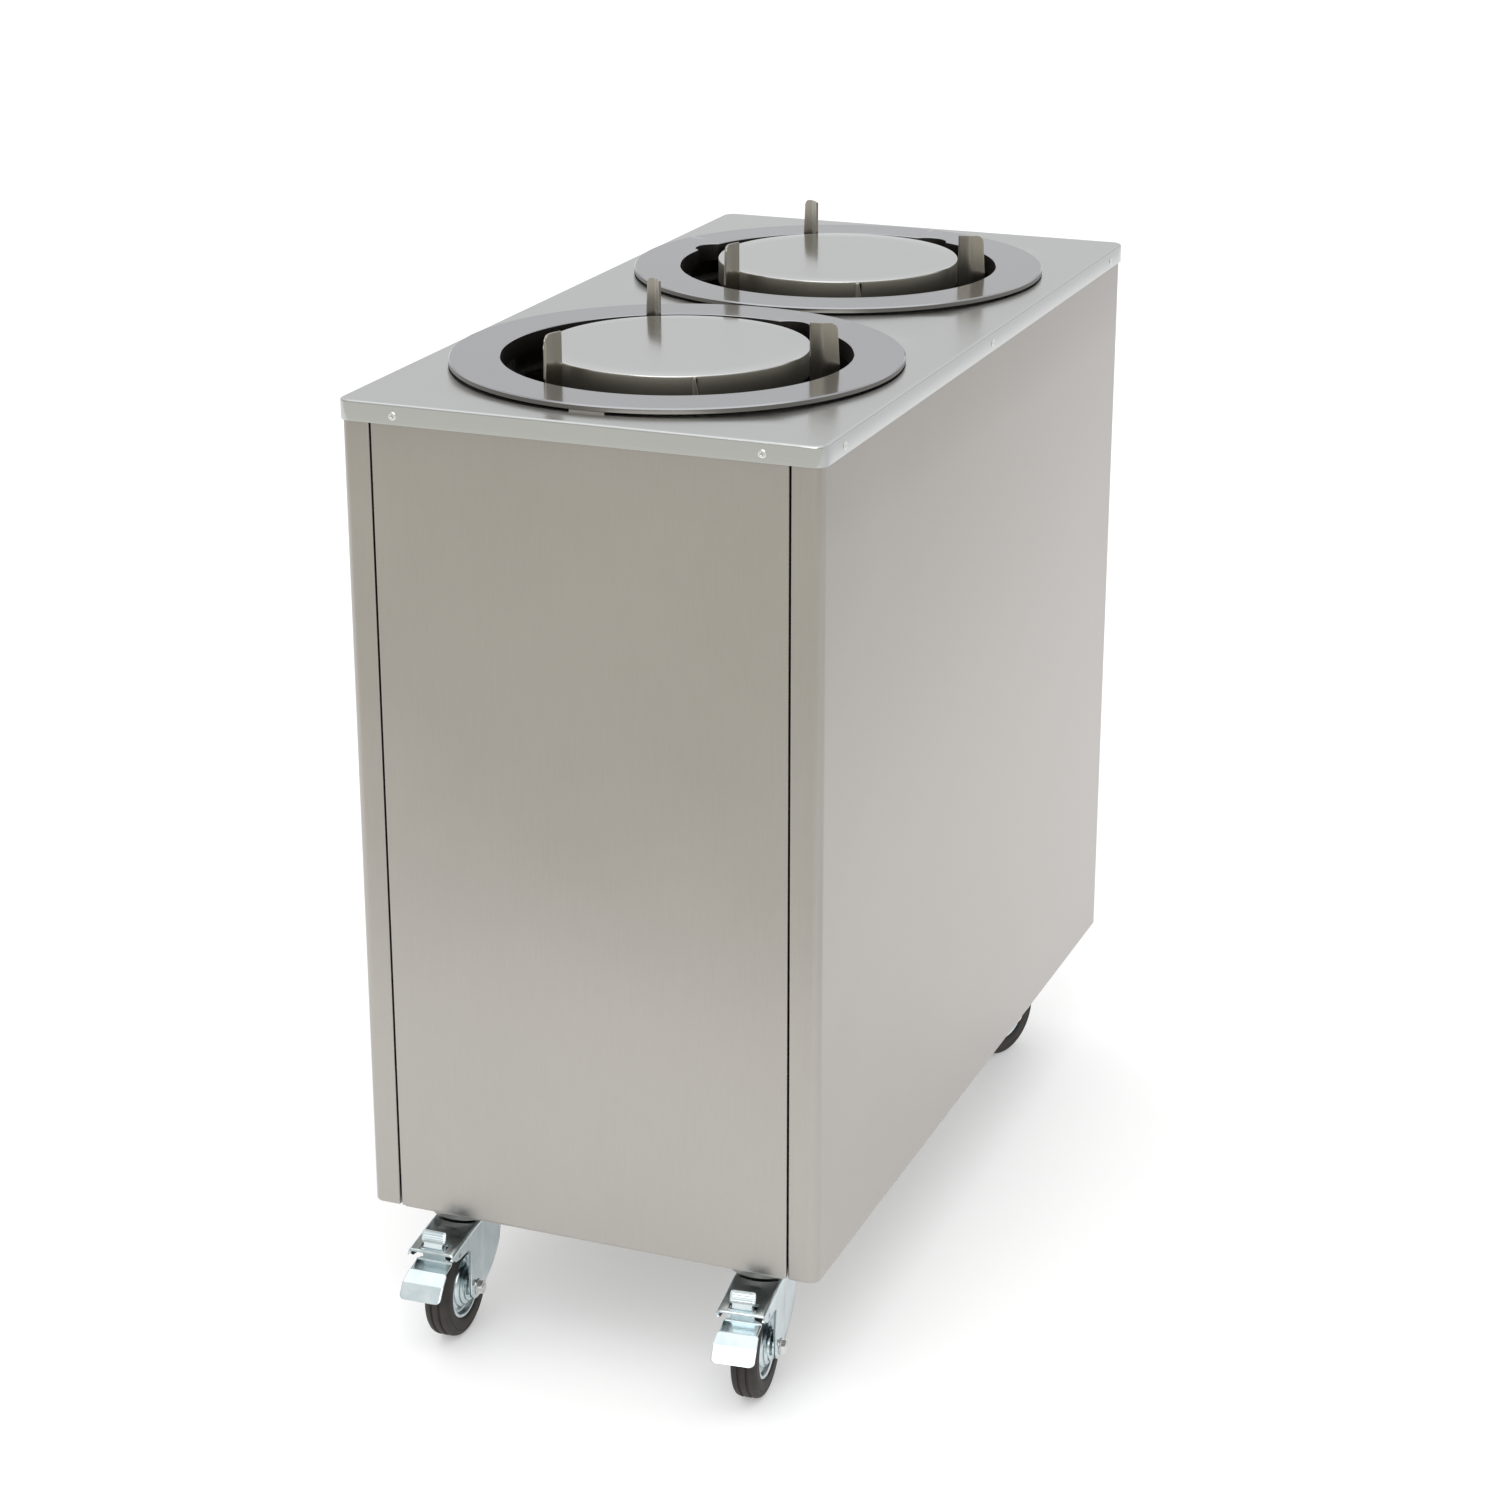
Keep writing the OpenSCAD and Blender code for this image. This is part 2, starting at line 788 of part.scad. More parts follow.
// Side view of the outer leaf with its taper and its round top corner
module leaf_outline(h) {
    polygon([[0, 0], [leaf_out + leaf_taper, 0], [leaf_out + leaf_taper, h - taper_h],
        [leaf_out, h - blade_corner_r], [leaf_out - blade_corner_r, h - blade_corner_r],
        [leaf_out - blade_corner_r, h], [0, h]]);
    translate([leaf_out - blade_corner_r, h - blade_corner_r])
        circle(blade_corner_r);
}

// Guide blade: an inner and an outer leaf, and a barrel round its rod under the hoop
module guide_blade(side, dir) {
    foot_z = cage_base_z + cage_base_t + gap;
    leaf_z = foot_z + pad_rim;
    leaf_h = cover_z + blade_up - leaf_z;
    wide = leaf_out + leaf_taper;
    p = [blade_in, 0];
    q = [fold_x, fold_y];
    r = [fold_x + wide * cos(leaf_out_a), fold_y + wide * sin(leaf_out_a)];
    n_in = [-sin(leaf_in_a), cos(leaf_in_a)] * blade_t / 2;
    n_out = [-sin(leaf_out_a), cos(leaf_out_a)] * blade_t / 2;
    n_fold = (n_in + n_out) / (1 + cos(leaf_out_a - leaf_in_a));
    color("silver")
        at_well(side)
            rotate([0, 0, dir])
                difference() {
                    union() {
                        translate([0, 0, leaf_z])
                            linear_extrude(leaf_h)
                                polygon([p + n_in, q + n_fold, r + n_out, r - n_out, q - n_fold, p - n_in]);
                        translate([rod_x, rod_y, foot_z])
                            cylinder(r = barrel_r, h = hoop_z - gap - foot_z);
                    }
                    translate([fold_x, fold_y, leaf_z])
                        rotate([90, 0, leaf_out_a])
                            translate([0, 0, -blade_t])
                                linear_extrude(2 * blade_t)
                                    difference() {
                                        translate([leaf_out - blade_corner_r, leaf_h - taper_h])
                                            square([blade_corner_r + 2 * leaf_taper, taper_h + over]);
                                        leaf_outline(leaf_h);
                                    }
                    translate([rod_x, rod_y, foot_z - over])
                        cylinder(r = rod_r + run_fit, h = hoop_z - foot_z + over);
                    translate([rod_x, rod_y, hoop_z - gap])
                        cylinder(r = ear_r + ear_clear, h = hoop_t + rod_over + 2 * gap);
                }
}

// Turns a caster's piece into place: forward of the axle is away from the swivel axis
module at_caster(x, y, turn) {
    on_cart()
        translate([x * swivel_x, y * swivel_y, 0])
            rotate([0, 0, turn])
                children();
}

function side_points(shares) = [for (p = shares) [-p[0] * wheel_r - trail, p[1] * wheel_r]];

// Extrudes an outline, drawn in the plane of travel, across the caster by width w about x
module across(x, w) {
    translate([x - w / 2, 0, 0])
        rotate([90, 0, 90])
            linear_extrude(w)
                children();
}

module fork(x, y, turn, shares, braked) {
    nose_f = braked ? shares[2][0] * wheel_r : shares[1][0] * wheel_r;
    slope = [for (i = [0 : braked ? 2 : 1]) [-shares[i][0] * wheel_r - trail, shares[i][1] * wheel_r]];
    under = [for (i = [braked ? 2 : 1 : -1 : 0]) [-shares[i][0] * wheel_r - trail, shares[i][1] * wheel_r - fork_t]];
    color("lightsteelblue")
        at_caster(x, y, turn)
            difference() {
                union() {
                    for (s = [-1, 1])
                        across(s * (fork_w - fork_t) / 2, fork_t)
                            polygon(side_points(shares));
                    across(0, fork_w - fork_t)
                        polygon(concat(slope, under));
                    translate([0, 0, crown_z - fork_t])
                        cylinder(r = fork_w / 2, h = fork_t);
                    translate([0, 0, crown_z])
                        cylinder(r = race_r - race_wall - gap, h = lower_race_h);
                }
                translate([0, 0, crown_z - fork_t - over])
                    cylinder(r = kingpin_r + run_fit, h = fork_t + lower_race_h + 2 * over);
                translate([-fork_w, -trail, wheel_r])
                    rotate([0, 90, 0])
                        cylinder(r = axle_r + hole_fit, h = 2 * fork_w);
                if (braked) {
                    translate([-window_w / 2, -window_out - trail, pin_shares[1] * wheel_r])
                        cube([window_w, window_out - window_in, crown_z - pin_shares[1] * wheel_r]);
                    translate([-fork_w / 2 - over, -pin_shares[0] * wheel_r - trail, pin_shares[1] * wheel_r])
                        rotate([0, 90, 0])
                            cylinder(r = pin_r + hole_fit, h = fork_w + 2 * over);
                }
            }
}

// Mounting plates with the upper race of the swivel head and its kingpin
module caster_plates() {
    color("lightsteelblue")
        on_cart()
            at_casters() {
                difference() {
                    union() {
                        translate([0, 0, head_z])
                            linear_extrude(plate_t)
                                difference() {
                                    round_rect(plate_l, plate_w, corner_r);
                                    for (x = [-1, 1], y = [-1, 1])
                                        translate([x * bolt_dx / 2, y * bolt_dy / 2])
                                            circle(bolt_r + hole_fit);
                                }
                        translate([0, 0, crown_z + race_lift])
                            difference() {
                                cylinder(r = race_r, h = race_h - race_lift);
                                translate([0, 0, -over])
                                    cylinder(r = race_r - race_wall, h = lower_race_h - race_lift + gap + over);
                            }
                    }
                    translate([0, 0, crown_z])
                        cylinder(r = kingpin_r + hole_fit, h = race_h + plate_t + over);
                }
                translate([0, 0, crown_z - fork_t - gap - kingpin_head_h])
                    cylinder(r = kingpin_head_r, h = kingpin_head_h);
                translate([0, 0, crown_z - fork_t - gap])
                    cylinder(r = kingpin_r, h = fork_t + gap + race_h + plate_t);
            }
}

// Bolts with hexagon heads under the plates, and their nuts over the pads
module caster_bolts() {
    color("silver")
        on_cart()
            at_casters()
                for (x = [-1, 1], y = [-1, 1])
                    translate([x * bolt_dx / 2, y * bolt_dy / 2, 0]) {
                        translate([0, 0, head_z - bolt_head_h])
                            cylinder(r = bolt_head_r, h = bolt_head_h, $fn = 6);
                        translate([0, 0, head_z])
                            cylinder(r = bolt_r, h = plate_t + base_t + pad_t + 2 * bolt_head_h);
                        translate([0, 0, floor_z + pad_t])
                            difference() {
                                cylinder(r = bolt_head_r, h = bolt_head_h, $fn = 6);
                                translate([0, 0, -over])
                                    cylinder(r = bolt_r + hole_fit, h = bolt_head_h + 2 * over);
                            }
                    }
}

// Axle: a bolt and its nut through the fork, and the sleeve that the wheel turns on
module axle(x, y, turn) {
    inner_w = fork_w - 2 * fork_t;
    color("silver")
        at_caster(x, y, turn)
            translate([0, -trail, wheel_r])
                rotate([0, 90, 0]) {
                    translate([0, 0, -inner_w / 2])
                        difference() {
                            cylinder(r = bore_r, h = inner_w);
                            translate([0, 0, -over])
                                cylinder(r = axle_r + hole_fit, h = inner_w + 2 * over);
                        }
                    translate([0, 0, -fork_w / 2 - nut_h])
                        cylinder(r = nut_r, h = nut_h, $fn = 6);
                    translate([0, 0, -fork_w / 2])
                        cylinder(r = axle_r, h = fork_w + nut_h + over);
                    translate([0, 0, fork_w / 2])
                        difference() {
                            cylinder(r = nut_r, h = nut_h, $fn = 6);
                            translate([0, 0, -over])
                                cylinder(r = axle_r + hole_fit, h = nut_h + 2 * over);
                        }
                }
}

// Rim: a pressed steel centre, dished on both sides between its hub and its lip
module rim(x, y, turn) {
    hub_x = fork_w / 2 - fork_t - gap;
    lip_x = rim_w / 2;
    color("lightsteelblue")
        at_caster(x, y, turn)
            translate([0, -trail, wheel_r])
                rotate([0, 90, 0])
                    rotate_extrude()
                        polygon([[bore_r + run_fit, -hub_x], [hub_r, -hub_x], [dish_r, -dish_x],
                            [rim_r - 2 * rim_drop, -dish_x + rim_lip_t], [rim_r - rim_drop, -lip_x],
                            [rim_r, -lip_x], [rim_r, -lip_x + rim_lip_t],
                            [rim_r - rim_drop, -lip_x + rim_lip_t], [rim_r - rim_drop, lip_x - rim_lip_t],
                            [rim_r, lip_x - rim_lip_t], [rim_r, lip_x], [rim_r - rim_drop, lip_x],
                            [rim_r - 2 * rim_drop, dish_x - rim_lip_t], [dish_r, dish_x],
                            [hub_r, hub_x], [bore_r + run_fit, hub_x]]);
}

// Tyre: a solid rubber ring, keyed between the rim's lips, with two grooves in its tread
module tyre(x, y, turn) {
    seat_r = rim_r - rim_drop + hole_fit;
    seat_x = rim_w / 2 - rim_lip_t - hole_fit;
    side_x = tyre_w / 2;
    half = [[seat_r, seat_x], [rim_r + hole_fit, seat_x], [rim_r + groove_d, side_x - groove_w],
        [(rim_r + wheel_r) / 2 - groove_d, side_x], [(rim_r + wheel_r) / 2 + groove_d, side_x],
        [wheel_r - 2 * groove_d, side_x - groove_w], [wheel_r - groove_d / 2, side_x - 2 * groove_w],
        [wheel_r, side_x - 4 * groove_w], [wheel_r, groove_x + groove_w],
        [wheel_r - groove_d, groove_x + groove_w / 2], [wheel_r - groove_d, groove_x - groove_w / 2],
        [wheel_r, groove_x - groove_w]];
    color("black")
        at_caster(x, y, turn)
            translate([0, -trail, wheel_r])
                rotate([0, 90, 0])
                    rotate_extrude($fn = 180)
                        polygon(concat(half, [for (i = [len(half) - 1 : -1 : 0]) [half[i][0], -half[i][1]]]));
}

pedal_points = side_points(pedal_shares);
pin_y = -pin_shares[0] * wheel_r - trail;
pin_z = pin_shares[1] * wheel_r;
web_y = pedal_points[3][0] + (pedal_points[2][0] - pedal_points[3][0])
    * (pin_z - pedal_points[3][1]) / (pedal_points[2][1] - pedal_points[3][1]);

// Offset from the sheet's middle line to its outer face, along the mitre of each fold
function unit(v) = v / norm(v);
function face_dir(p, q) = [-unit(q - p)[1], unit(q - p)[0]];
function mitre(pts, i) =
    let (
        n = face_dir(pts[max(i - 1, 0)], pts[max(i, 1)]),
        m = face_dir(pts[min(i, len(pts) - 2)], pts[min(i + 1, len(pts) - 1)])
    )
    (n + m) / (1 + n * m) * pedal_t / 2;

// Stretch i of the pedal's sheet, w wide, mitred to its neighbours
module strip(pts, i, w) {
    a = mitre(pts, i);
    b = mitre(pts, i + 1);
    across(0, w)
        polygon([pts[i] + a, pts[i + 1] + b, pts[i + 1] - b, pts[i] - a]);
}

// What the round corners take off the free end of the last stretch
module pedal_corners(p, q, w) {
    d = q - p;
    l = norm(d);
    translate([0, p[0], p[1]])
        rotate([atan2(d[1], d[0]), 0, 0])
            translate([0, 0, -pedal_t])
                linear_extrude(2 * pedal_t)
                    for (s = [-1, 1])
                        translate([s * (w / 2 - pedal_round), l - pedal_round])
                            difference() {
                                translate([s > 0 ? 0 : -pedal_round - over, 0])
                                    square(pedal_round + over);
                                circle(pedal_round);
                            }
}

// Brake pedal: one stamped rocker with a release tab above the fork's nose and a pedal below
module brake_pedal(x, turn) {
    pts = pedal_points;
    color("lightsteelblue")
        at_caster(x, -1, turn)
            difference() {
                union() {
                    strip(pts, 0, release_w);
                    strip(pts, 1, neck_w);
                    strip(pts, 2, web_w);
                    strip(pts, 3, flat_w);
                    strip(pts, 4, upper_pedal_w);
                    strip(pts, 5, pedal_w);
                    for (s = [-1, 1]) {
                        translate([s * ear_x / 2 - ear_t / 2, pin_y, pin_z])
                            rotate([0, 90, 0])
                                cylinder(r = pin_r + ear_pad, h = ear_t);
                        translate([s * ear_x / 2 - ear_t / 2, web_y, pin_z - pin_r])
                            cube([ear_t, pin_y - web_y, 2 * pin_r]);
                    }
                }
                pedal_corners(pts[5], pts[6], pedal_w);
                translate([-pedal_w, pin_y, pin_z])
                    rotate([0, 90, 0])
                        cylinder(r = pin_r + run_fit, h = 2 * pedal_w);
            }
}

// Brake shoe under the pedal's web, which the pedal swings against the tread
module brake_shoe(x, turn) {
    web = pedal_points[3] - pedal_points[2];
    back = [-web[1], web[0]] / norm(web) * pedal_t / 2;
    seat = pedal_points[3] + back;
    color("dimgray")
        at_caster(x, -1, turn)
            across(0, shoe_w)
                polygon(concat([seat - web * shoe_grip_share, seat], side_points(shoe_shares)));
}

module pedal_pin(x, turn) {
    color("silver")
        at_caster(x, -1, turn)
            translate([-fork_w / 2, pin_y, pin_z])
                rotate([0, 90, 0])
                    cylinder(r = pin_r, h = fork_w);
}

top_cover();
side_panel(-1);  // left_side_panel
side_panel(1);  // right_side_panel
end_panel(-1);  // front_panel
end_panel(1);  // rear_panel
base_plate();
inner_frame();
caster_pads();
cover_rivets();
front_ring_tab();
caster_bolts();
caster_plates();
well_ring(-1, [front_notch_a]);  // front_well_ring
cage_hoop(-1);  // front_cage_hoop
guide_columns(-1);  // front_guide_columns
cage_base(-1);  // front_cage_base
blade_rods(-1);  // front_blade_rods
springs(-1);  // front_springs
well_ring(1, [rear_notch_a, rear_notch_b]);  // rear_well_ring
cage_hoop(1);  // rear_cage_hoop
guide_columns(1);  // rear_guide_columns
cage_base(1);  // rear_cage_base
blade_rods(1);  // rear_blade_rods
springs(1);  // rear_springs
carrier_plate(-1);  // front_carrier_plate
carrier_stem(-1);  // front_carrier_stem
carrier_spider(-1);  // front_carrier_spider
carrier_glides(-1);  // front_carrier_glides
carrier_plate(1);  // rear_carrier_plate
carrier_stem(1);  // rear_carrier_stem
carrier_spider(1);  // rear_carrier_spider
carrier_glides(1);  // rear_carrier_glides
guide_blade(-1, blade_dirs[0]);  // front_guide_blade_1
guide_blade(-1, blade_dirs[1]);  // front_guide_blade_2
guide_blade(-1, blade_dirs[2]);  // front_guide_blade_3
guide_blade(1, blade_dirs[0]);  // rear_guide_blade_1
guide_blade(1, blade_dirs[1]);  // rear_guide_blade_2
guide_blade(1, blade_dirs[2]);  // rear_guide_blade_3
fork(-1, -1, turn_fl, fork_shares, true);  // front_left_fork
fork(1, -1, turn_fr, fork_shares, true);  // front_right_fork
fork(-1, 1, turn_rl, plain_fork_shares, false);  // rear_left_fork
fork(1, 1, turn_rr, plain_fork_shares, false);  // rear_right_fork
axle(-1, -1, turn_fl);  // front_left_axle
axle(1, -1, turn_fr);  // front_right_axle
axle(-1, 1, turn_rl);  // rear_left_axle
axle(1, 1, turn_rr);  // rear_right_axle
rim(-1, -1, turn_fl);  // front_left_rim
rim(1, -1, turn_fr);  // front_right_rim
rim(-1, 1, turn_rl);  // rear_left_rim
rim(1, 1, turn_rr);  // rear_right_rim
tyre(-1, -1, turn_fl);  // front_left_tyre
tyre(1, -1, turn_fr);  // front_right_tyre
tyre(-1, 1, turn_rl);  // rear_left_tyre
tyre(1, 1, turn_rr);  // rear_right_tyre
brake_pedal(-1, turn_fl);  // front_left_brake_pedal
brake_pedal(1, turn_fr);  // front_right_brake_pedal
brake_shoe(-1, turn_fl);  // front_left_brake_shoe
brake_shoe(1, turn_fr);  // front_right_brake_shoe
pedal_pin(-1, turn_fl);  // front_left_pedal_pin
pedal_pin(1, turn_fr);  // front_right_pedal_pin
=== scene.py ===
"""Plate dispenser cart: brushed steel cabinet, two sprung plate wells, four zinc plated casters.

Metres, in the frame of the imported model: +Z up, floor at zero, the braked casters face -Y.
"""

import logging
import math
from dataclasses import dataclass
from enum import Enum
from typing import Any, Sequence

import bmesh
import bpy
import numpy as np
from mathutils import Matrix, Vector

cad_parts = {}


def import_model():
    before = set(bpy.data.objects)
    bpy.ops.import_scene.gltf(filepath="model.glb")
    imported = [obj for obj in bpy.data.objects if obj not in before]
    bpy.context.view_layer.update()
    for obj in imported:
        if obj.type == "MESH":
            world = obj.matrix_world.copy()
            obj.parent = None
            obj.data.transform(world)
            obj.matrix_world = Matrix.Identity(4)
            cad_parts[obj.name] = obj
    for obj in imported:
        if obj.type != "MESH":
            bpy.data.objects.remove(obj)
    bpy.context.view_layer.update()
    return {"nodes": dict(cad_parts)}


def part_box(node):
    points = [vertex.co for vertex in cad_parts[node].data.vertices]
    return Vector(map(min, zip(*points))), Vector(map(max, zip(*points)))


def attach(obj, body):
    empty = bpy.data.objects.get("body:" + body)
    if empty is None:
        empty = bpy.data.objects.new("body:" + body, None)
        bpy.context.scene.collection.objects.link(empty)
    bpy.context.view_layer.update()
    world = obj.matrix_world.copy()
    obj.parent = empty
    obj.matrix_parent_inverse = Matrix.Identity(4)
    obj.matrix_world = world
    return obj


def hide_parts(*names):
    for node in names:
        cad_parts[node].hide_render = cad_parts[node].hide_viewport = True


LOG = logging.getLogger("plate_cart")
Array = np.ndarray
Pair = tuple[float, float]
Triple = tuple[float, float, float]
Line = tuple[Pair, ...]
RGB = Triple
MM = 0.001
TURN = 2 * math.pi
QUARTER = math.pi / 2
HAIR = 0.0001  # a gap that keeps two faces apart
WELD = 2e-6  # points nearer than this are joined
TINY = 1e-7  # the shortest length that counts


# --- colour and node helpers -------------------------------------------------------------------


def linear(hex_colour: str) -> RGB:
    """Turns an sRGB hex colour into linear light.

    Args:
        hex_colour: six hex digits, with or without a leading hash.

    Returns:
        Linear red, green and blue, by the sRGB curve: c / 12.92 below 0.04045, else
        ((c + 0.055) / 1.055) to the power 2.4.
    """
    text = hex_colour.lstrip("#")
    srgb = np.array([int(text[i : i + 2], 16) for i in (0, 2, 4)], dtype=float) / 255.0
    lin = np.where(srgb <= 0.04045, srgb / 12.92, ((srgb + 0.055) / 1.055) ** 2.4)
    return (float(lin[0]), float(lin[1]), float(lin[2]))


class Nodes:
    """A node tree, to which nodes are added with their settings and links."""

    def __init__(self, tree: bpy.types.NodeTree) -> None:
        """Empties the tree."""
        self.tree = tree
        self.tree.nodes.clear()

    def add(self, kind: str, settings: dict[str, Any] | None = None, **inputs: Any) -> Any:
        """Adds one node.

        Args:
            kind: the node's type name.
            settings: attributes of the node.
            **inputs: socket names, with spaces as underscores, or i0, i1 ... for a socket's
                number, each with a value or with the output socket that feeds it.

        Returns:
            The new node.
        """
        node = self.tree.nodes.new(kind)
        for key, value in (settings or {}).items():
            setattr(node, key, value)
        self.feed(node, inputs)
        return node

    def feed(self, node: Any, inputs: dict[str, Any]) -> None:
        """Sets or links a node's sockets, named as in add."""
        for key, value in inputs.items():
            number = key[1:].isdigit() and key[0] == "i"
            socket = node.inputs[int(key[1:]) if number else key.replace("_", " ")]
            if isinstance(value, bpy.types.NodeSocket):
                self.tree.links.new(value, socket)
            else:
                socket.default_value = value

    def noise(self, coords: Any, scale: float, detail: float, rough: float = 0.5) -> Any:
        """Adds a noise and returns its value."""
        kind = "ShaderNodeTexNoise"
        return self.add(kind, Vector=coords, Scale=scale, Detail=detail, Roughness=rough).outputs[0]

    def joined(self, operation: str, first: Any, second: Any) -> Any:
        """Joins two values by an operation and returns the result."""
        return self.add("ShaderNodeMath", {"operation": operation}, i0=first, i1=second).outputs[0]

    def part(self, vector: Any, axis: str) -> Any:
        """Returns one part of a vector."""
        return self.add("ShaderNodeSeparateXYZ", i0=vector).outputs[axis]

    def bands(self, factor: Any, stops: Sequence[tuple[float, RGB]]) -> Any:
        """Adds a ramp through colours at their places and returns its colour output."""
        node = self.add("ShaderNodeValToRGB", i0=factor)
        elements = node.color_ramp.elements
        while len(elements) < len(stops):
            elements.new(0.5)
        for element, (place, colour) in zip(elements, stops):
            element.position, element.color = place, (*colour, 1.0)
        return node.outputs[0]

    def ramp(self, factor: Any, low: RGB, high: RGB, start: float = 0.3, end: float = 0.7) -> Any:
        """Adds a two colour ramp and returns its colour output."""
        return self.bands(factor, ((start, low), (end, high)))

    def spread(self, value: Any, low: float, high: float) -> Any:
        """Maps a 0 to 1 value onto low to high and returns the output."""
        return self.add("ShaderNodeMapRange", i0=value, i3=low, i4=high).outputs[0]


class Graph(Nodes):
    """The nodes of a new material, with a Principled shader joined to its output."""

    def __init__(self, name: str) -> None:
        """Makes the material and its shader."""
        self.material = bpy.data.materials.new(name)
        self.material.use_nodes = True
        super().__init__(self.material.node_tree)
        self.shader = self.add("ShaderNodeBsdfPrincipled")
        self.add("ShaderNodeOutputMaterial", Surface=self.shader.outputs[0])

    def set(self, **inputs: Any) -> None:
        """Sets or links sockets of the Principled shader, named as in add."""
        self.feed(self.shader, inputs)

    def coords(self) -> Any:
        """Returns the object's own coordinates, in metres."""
        return self.add("ShaderNodeTexCoord").outputs["Object"]

    def bump(self, height: Any, strength: float, distance: float) -> None:
        """Bumps the shader's normal by a height."""
        node = self.add("ShaderNodeBump", Height=height, Strength=strength, Distance=distance)
        self.set(Normal=node.outputs[0])


# --- surfaces ----------------------------------------------------------------------------------


def unit(vectors: Array) -> Array:
    """Scales each vector of the last axis to length one."""
    return vectors / np.maximum(np.linalg.norm(vectors, axis=-1, keepdims=True), 1e-12)


def rounded(
    corners: Sequence[Sequence[float]], radii: Sequence[float], closed: bool = False, steps: int = 7
) -> Array:
    """Rounds the corners of a flat line.

    At a corner where the line turns by angle t, the arc of radius r starts r * tan(t / 2) before
    the corner: start + r * (sin(s) * ahead + (1 - cos(s)) * inward), with s from 0 to t.

    Args:
        corners: the line's corners, (n, 2).
        radii: one radius per corner.
        closed: whether the line's end joins its start.
        steps: points on each arc.

    Returns:
        The rounded line, (m, 2), without doubled points.
    """
    points = np.asarray(corners, dtype=float)
    radius = np.asarray(radii, dtype=float)
    before, after = unit(points - np.roll(points, 1, 0)), unit(np.roll(points, -1, 0) - points)
    cross = before[:, 0] * after[:, 1] - before[:, 1] * after[:, 0]
    turn = np.arctan2(cross, (before * after).sum(-1))
    if not closed:
        turn[[0, -1]] = 0.0
        before[0], after[-1] = after[0], before[-1]
    inward = np.stack([-before[:, 1], before[:, 0]], -1) * np.sign(turn)[:, None]
    start = points - before * (radius * np.tan(np.abs(turn) / 2))[:, None]
    angle = np.linspace(0.0, 1.0, steps)[None, :, None] * np.abs(turn)[:, None, None]
    arc = start[:, None] + radius[:, None, None] * (
        np.sin(angle) * before[:, None] + (1 - np.cos(angle)) * inward[:, None]
    )
    line = arc.reshape(-1, 2)
    keep = np.linalg.norm(line - np.roll(line, 1, 0), axis=1) > TINY
    if not closed:
        keep[0] = True
    return line[keep]


def lengths(line: Array) -> Array:
    """Returns the distance along a line at each of its points."""
    return np.concatenate([[0], np.cumsum(np.linalg.norm(np.diff(line, axis=0), axis=1))])


def densified(line: Array, step: float, closed: bool = False) -> Array:
    """Adds points to a line so that none of its stretches is longer than step."""
    ring = np.vstack([line, line[:1]]) if closed else line
    gaps = np.linalg.norm(np.diff(ring, axis=0), axis=1)
    counts = np.maximum(np.ceil(gaps / step).astype(int), 1)
    places = np.repeat(np.arange(len(gaps)), counts)
    offset = np.arange(len(places)) - np.repeat(np.cumsum(counts) - counts, counts)
    share = (offset / counts[places])[:, None]
    dense = ring[places] * (1 - share) + ring[places + 1] * share
    return dense if closed else np.vstack([dense, ring[-1:]])


def outward(line: Array, closed: bool = False) -> Array:
    """Returns the unit normals to the right of a flat line, outward for an anticlockwise ring."""
    if closed:
        ahead = unit(np.roll(line, -1, 0) - line) + unit(line - np.roll(line, 1, 0))
    else:
        steps = unit(np.diff(line, axis=0))
        ahead = np.vstack([steps[:1], steps[:-1] + steps[1:], steps[-1:]])
    ahead = unit(ahead)
    return np.stack([ahead[:, 1], -ahead[:, 0]], -1)


def wrapped(angle: Array) -> Array:
    """Brings angles to between minus and plus half a turn."""
    return (angle + math.pi) % TURN - math.pi


def ray(angle: Array) -> Array:
    """Returns the flat unit vector at each angle."""
    return np.stack([np.cos(angle), np.sin(angle)], -1)


def lifted(flat: Array, z: Array | float) -> Array:
    """Gives flat points, (..., 2), their heights."""
    return np.concatenate([flat, np.broadcast_to(z, flat.shape[:-1])[..., None]], -1)


def around(count: int) -> Array:
    """Returns evenly spaced angles over a whole turn."""
    return np.linspace(0.0, TURN, count, endpoint=False)


def lathe(profile: Array, count: int = 96, angles: Array | None = None) -> Array:
    """Turns a profile round +Z: each (r, z) becomes (r cos a, r sin a, z), on a grid (angle, point)."""
    turn = around(count) if angles is None else angles
    return lifted(ray(turn)[:, None] * profile[None, :, :1], profile[:, 1])


def eased(value: Array, start: float, width: float) -> Array:
    """Rises from 0 at start to 1 at start + width, in a straight line."""
    return np.clip((value - start) / width, 0, 1)


def mirrored(side: Array) -> Array:
    """Runs a profile on along its mirror image below zero; a point at zero isn't doubled."""
    back = side[::-1]
    return np.vstack([side, back[back[:, 1] != 0] * [1, -1]])


def spun(points: Array, degrees: float) -> Array:
    """Turns points about +Z."""
    angle = math.radians(degrees)
    cosine, sine = math.cos(angle), math.sin(angle)
    x, y, z = points[..., 0], points[..., 1], points[..., 2]
    return np.stack([x * cosine - y * sine, x * sine + y * cosine, z], -1)


def moved(points: Array, x: float = 0.0, y: float = 0.0, z: float = 0.0) -> Array:
    """Shifts points."""
    return points + np.array([x, y, z])


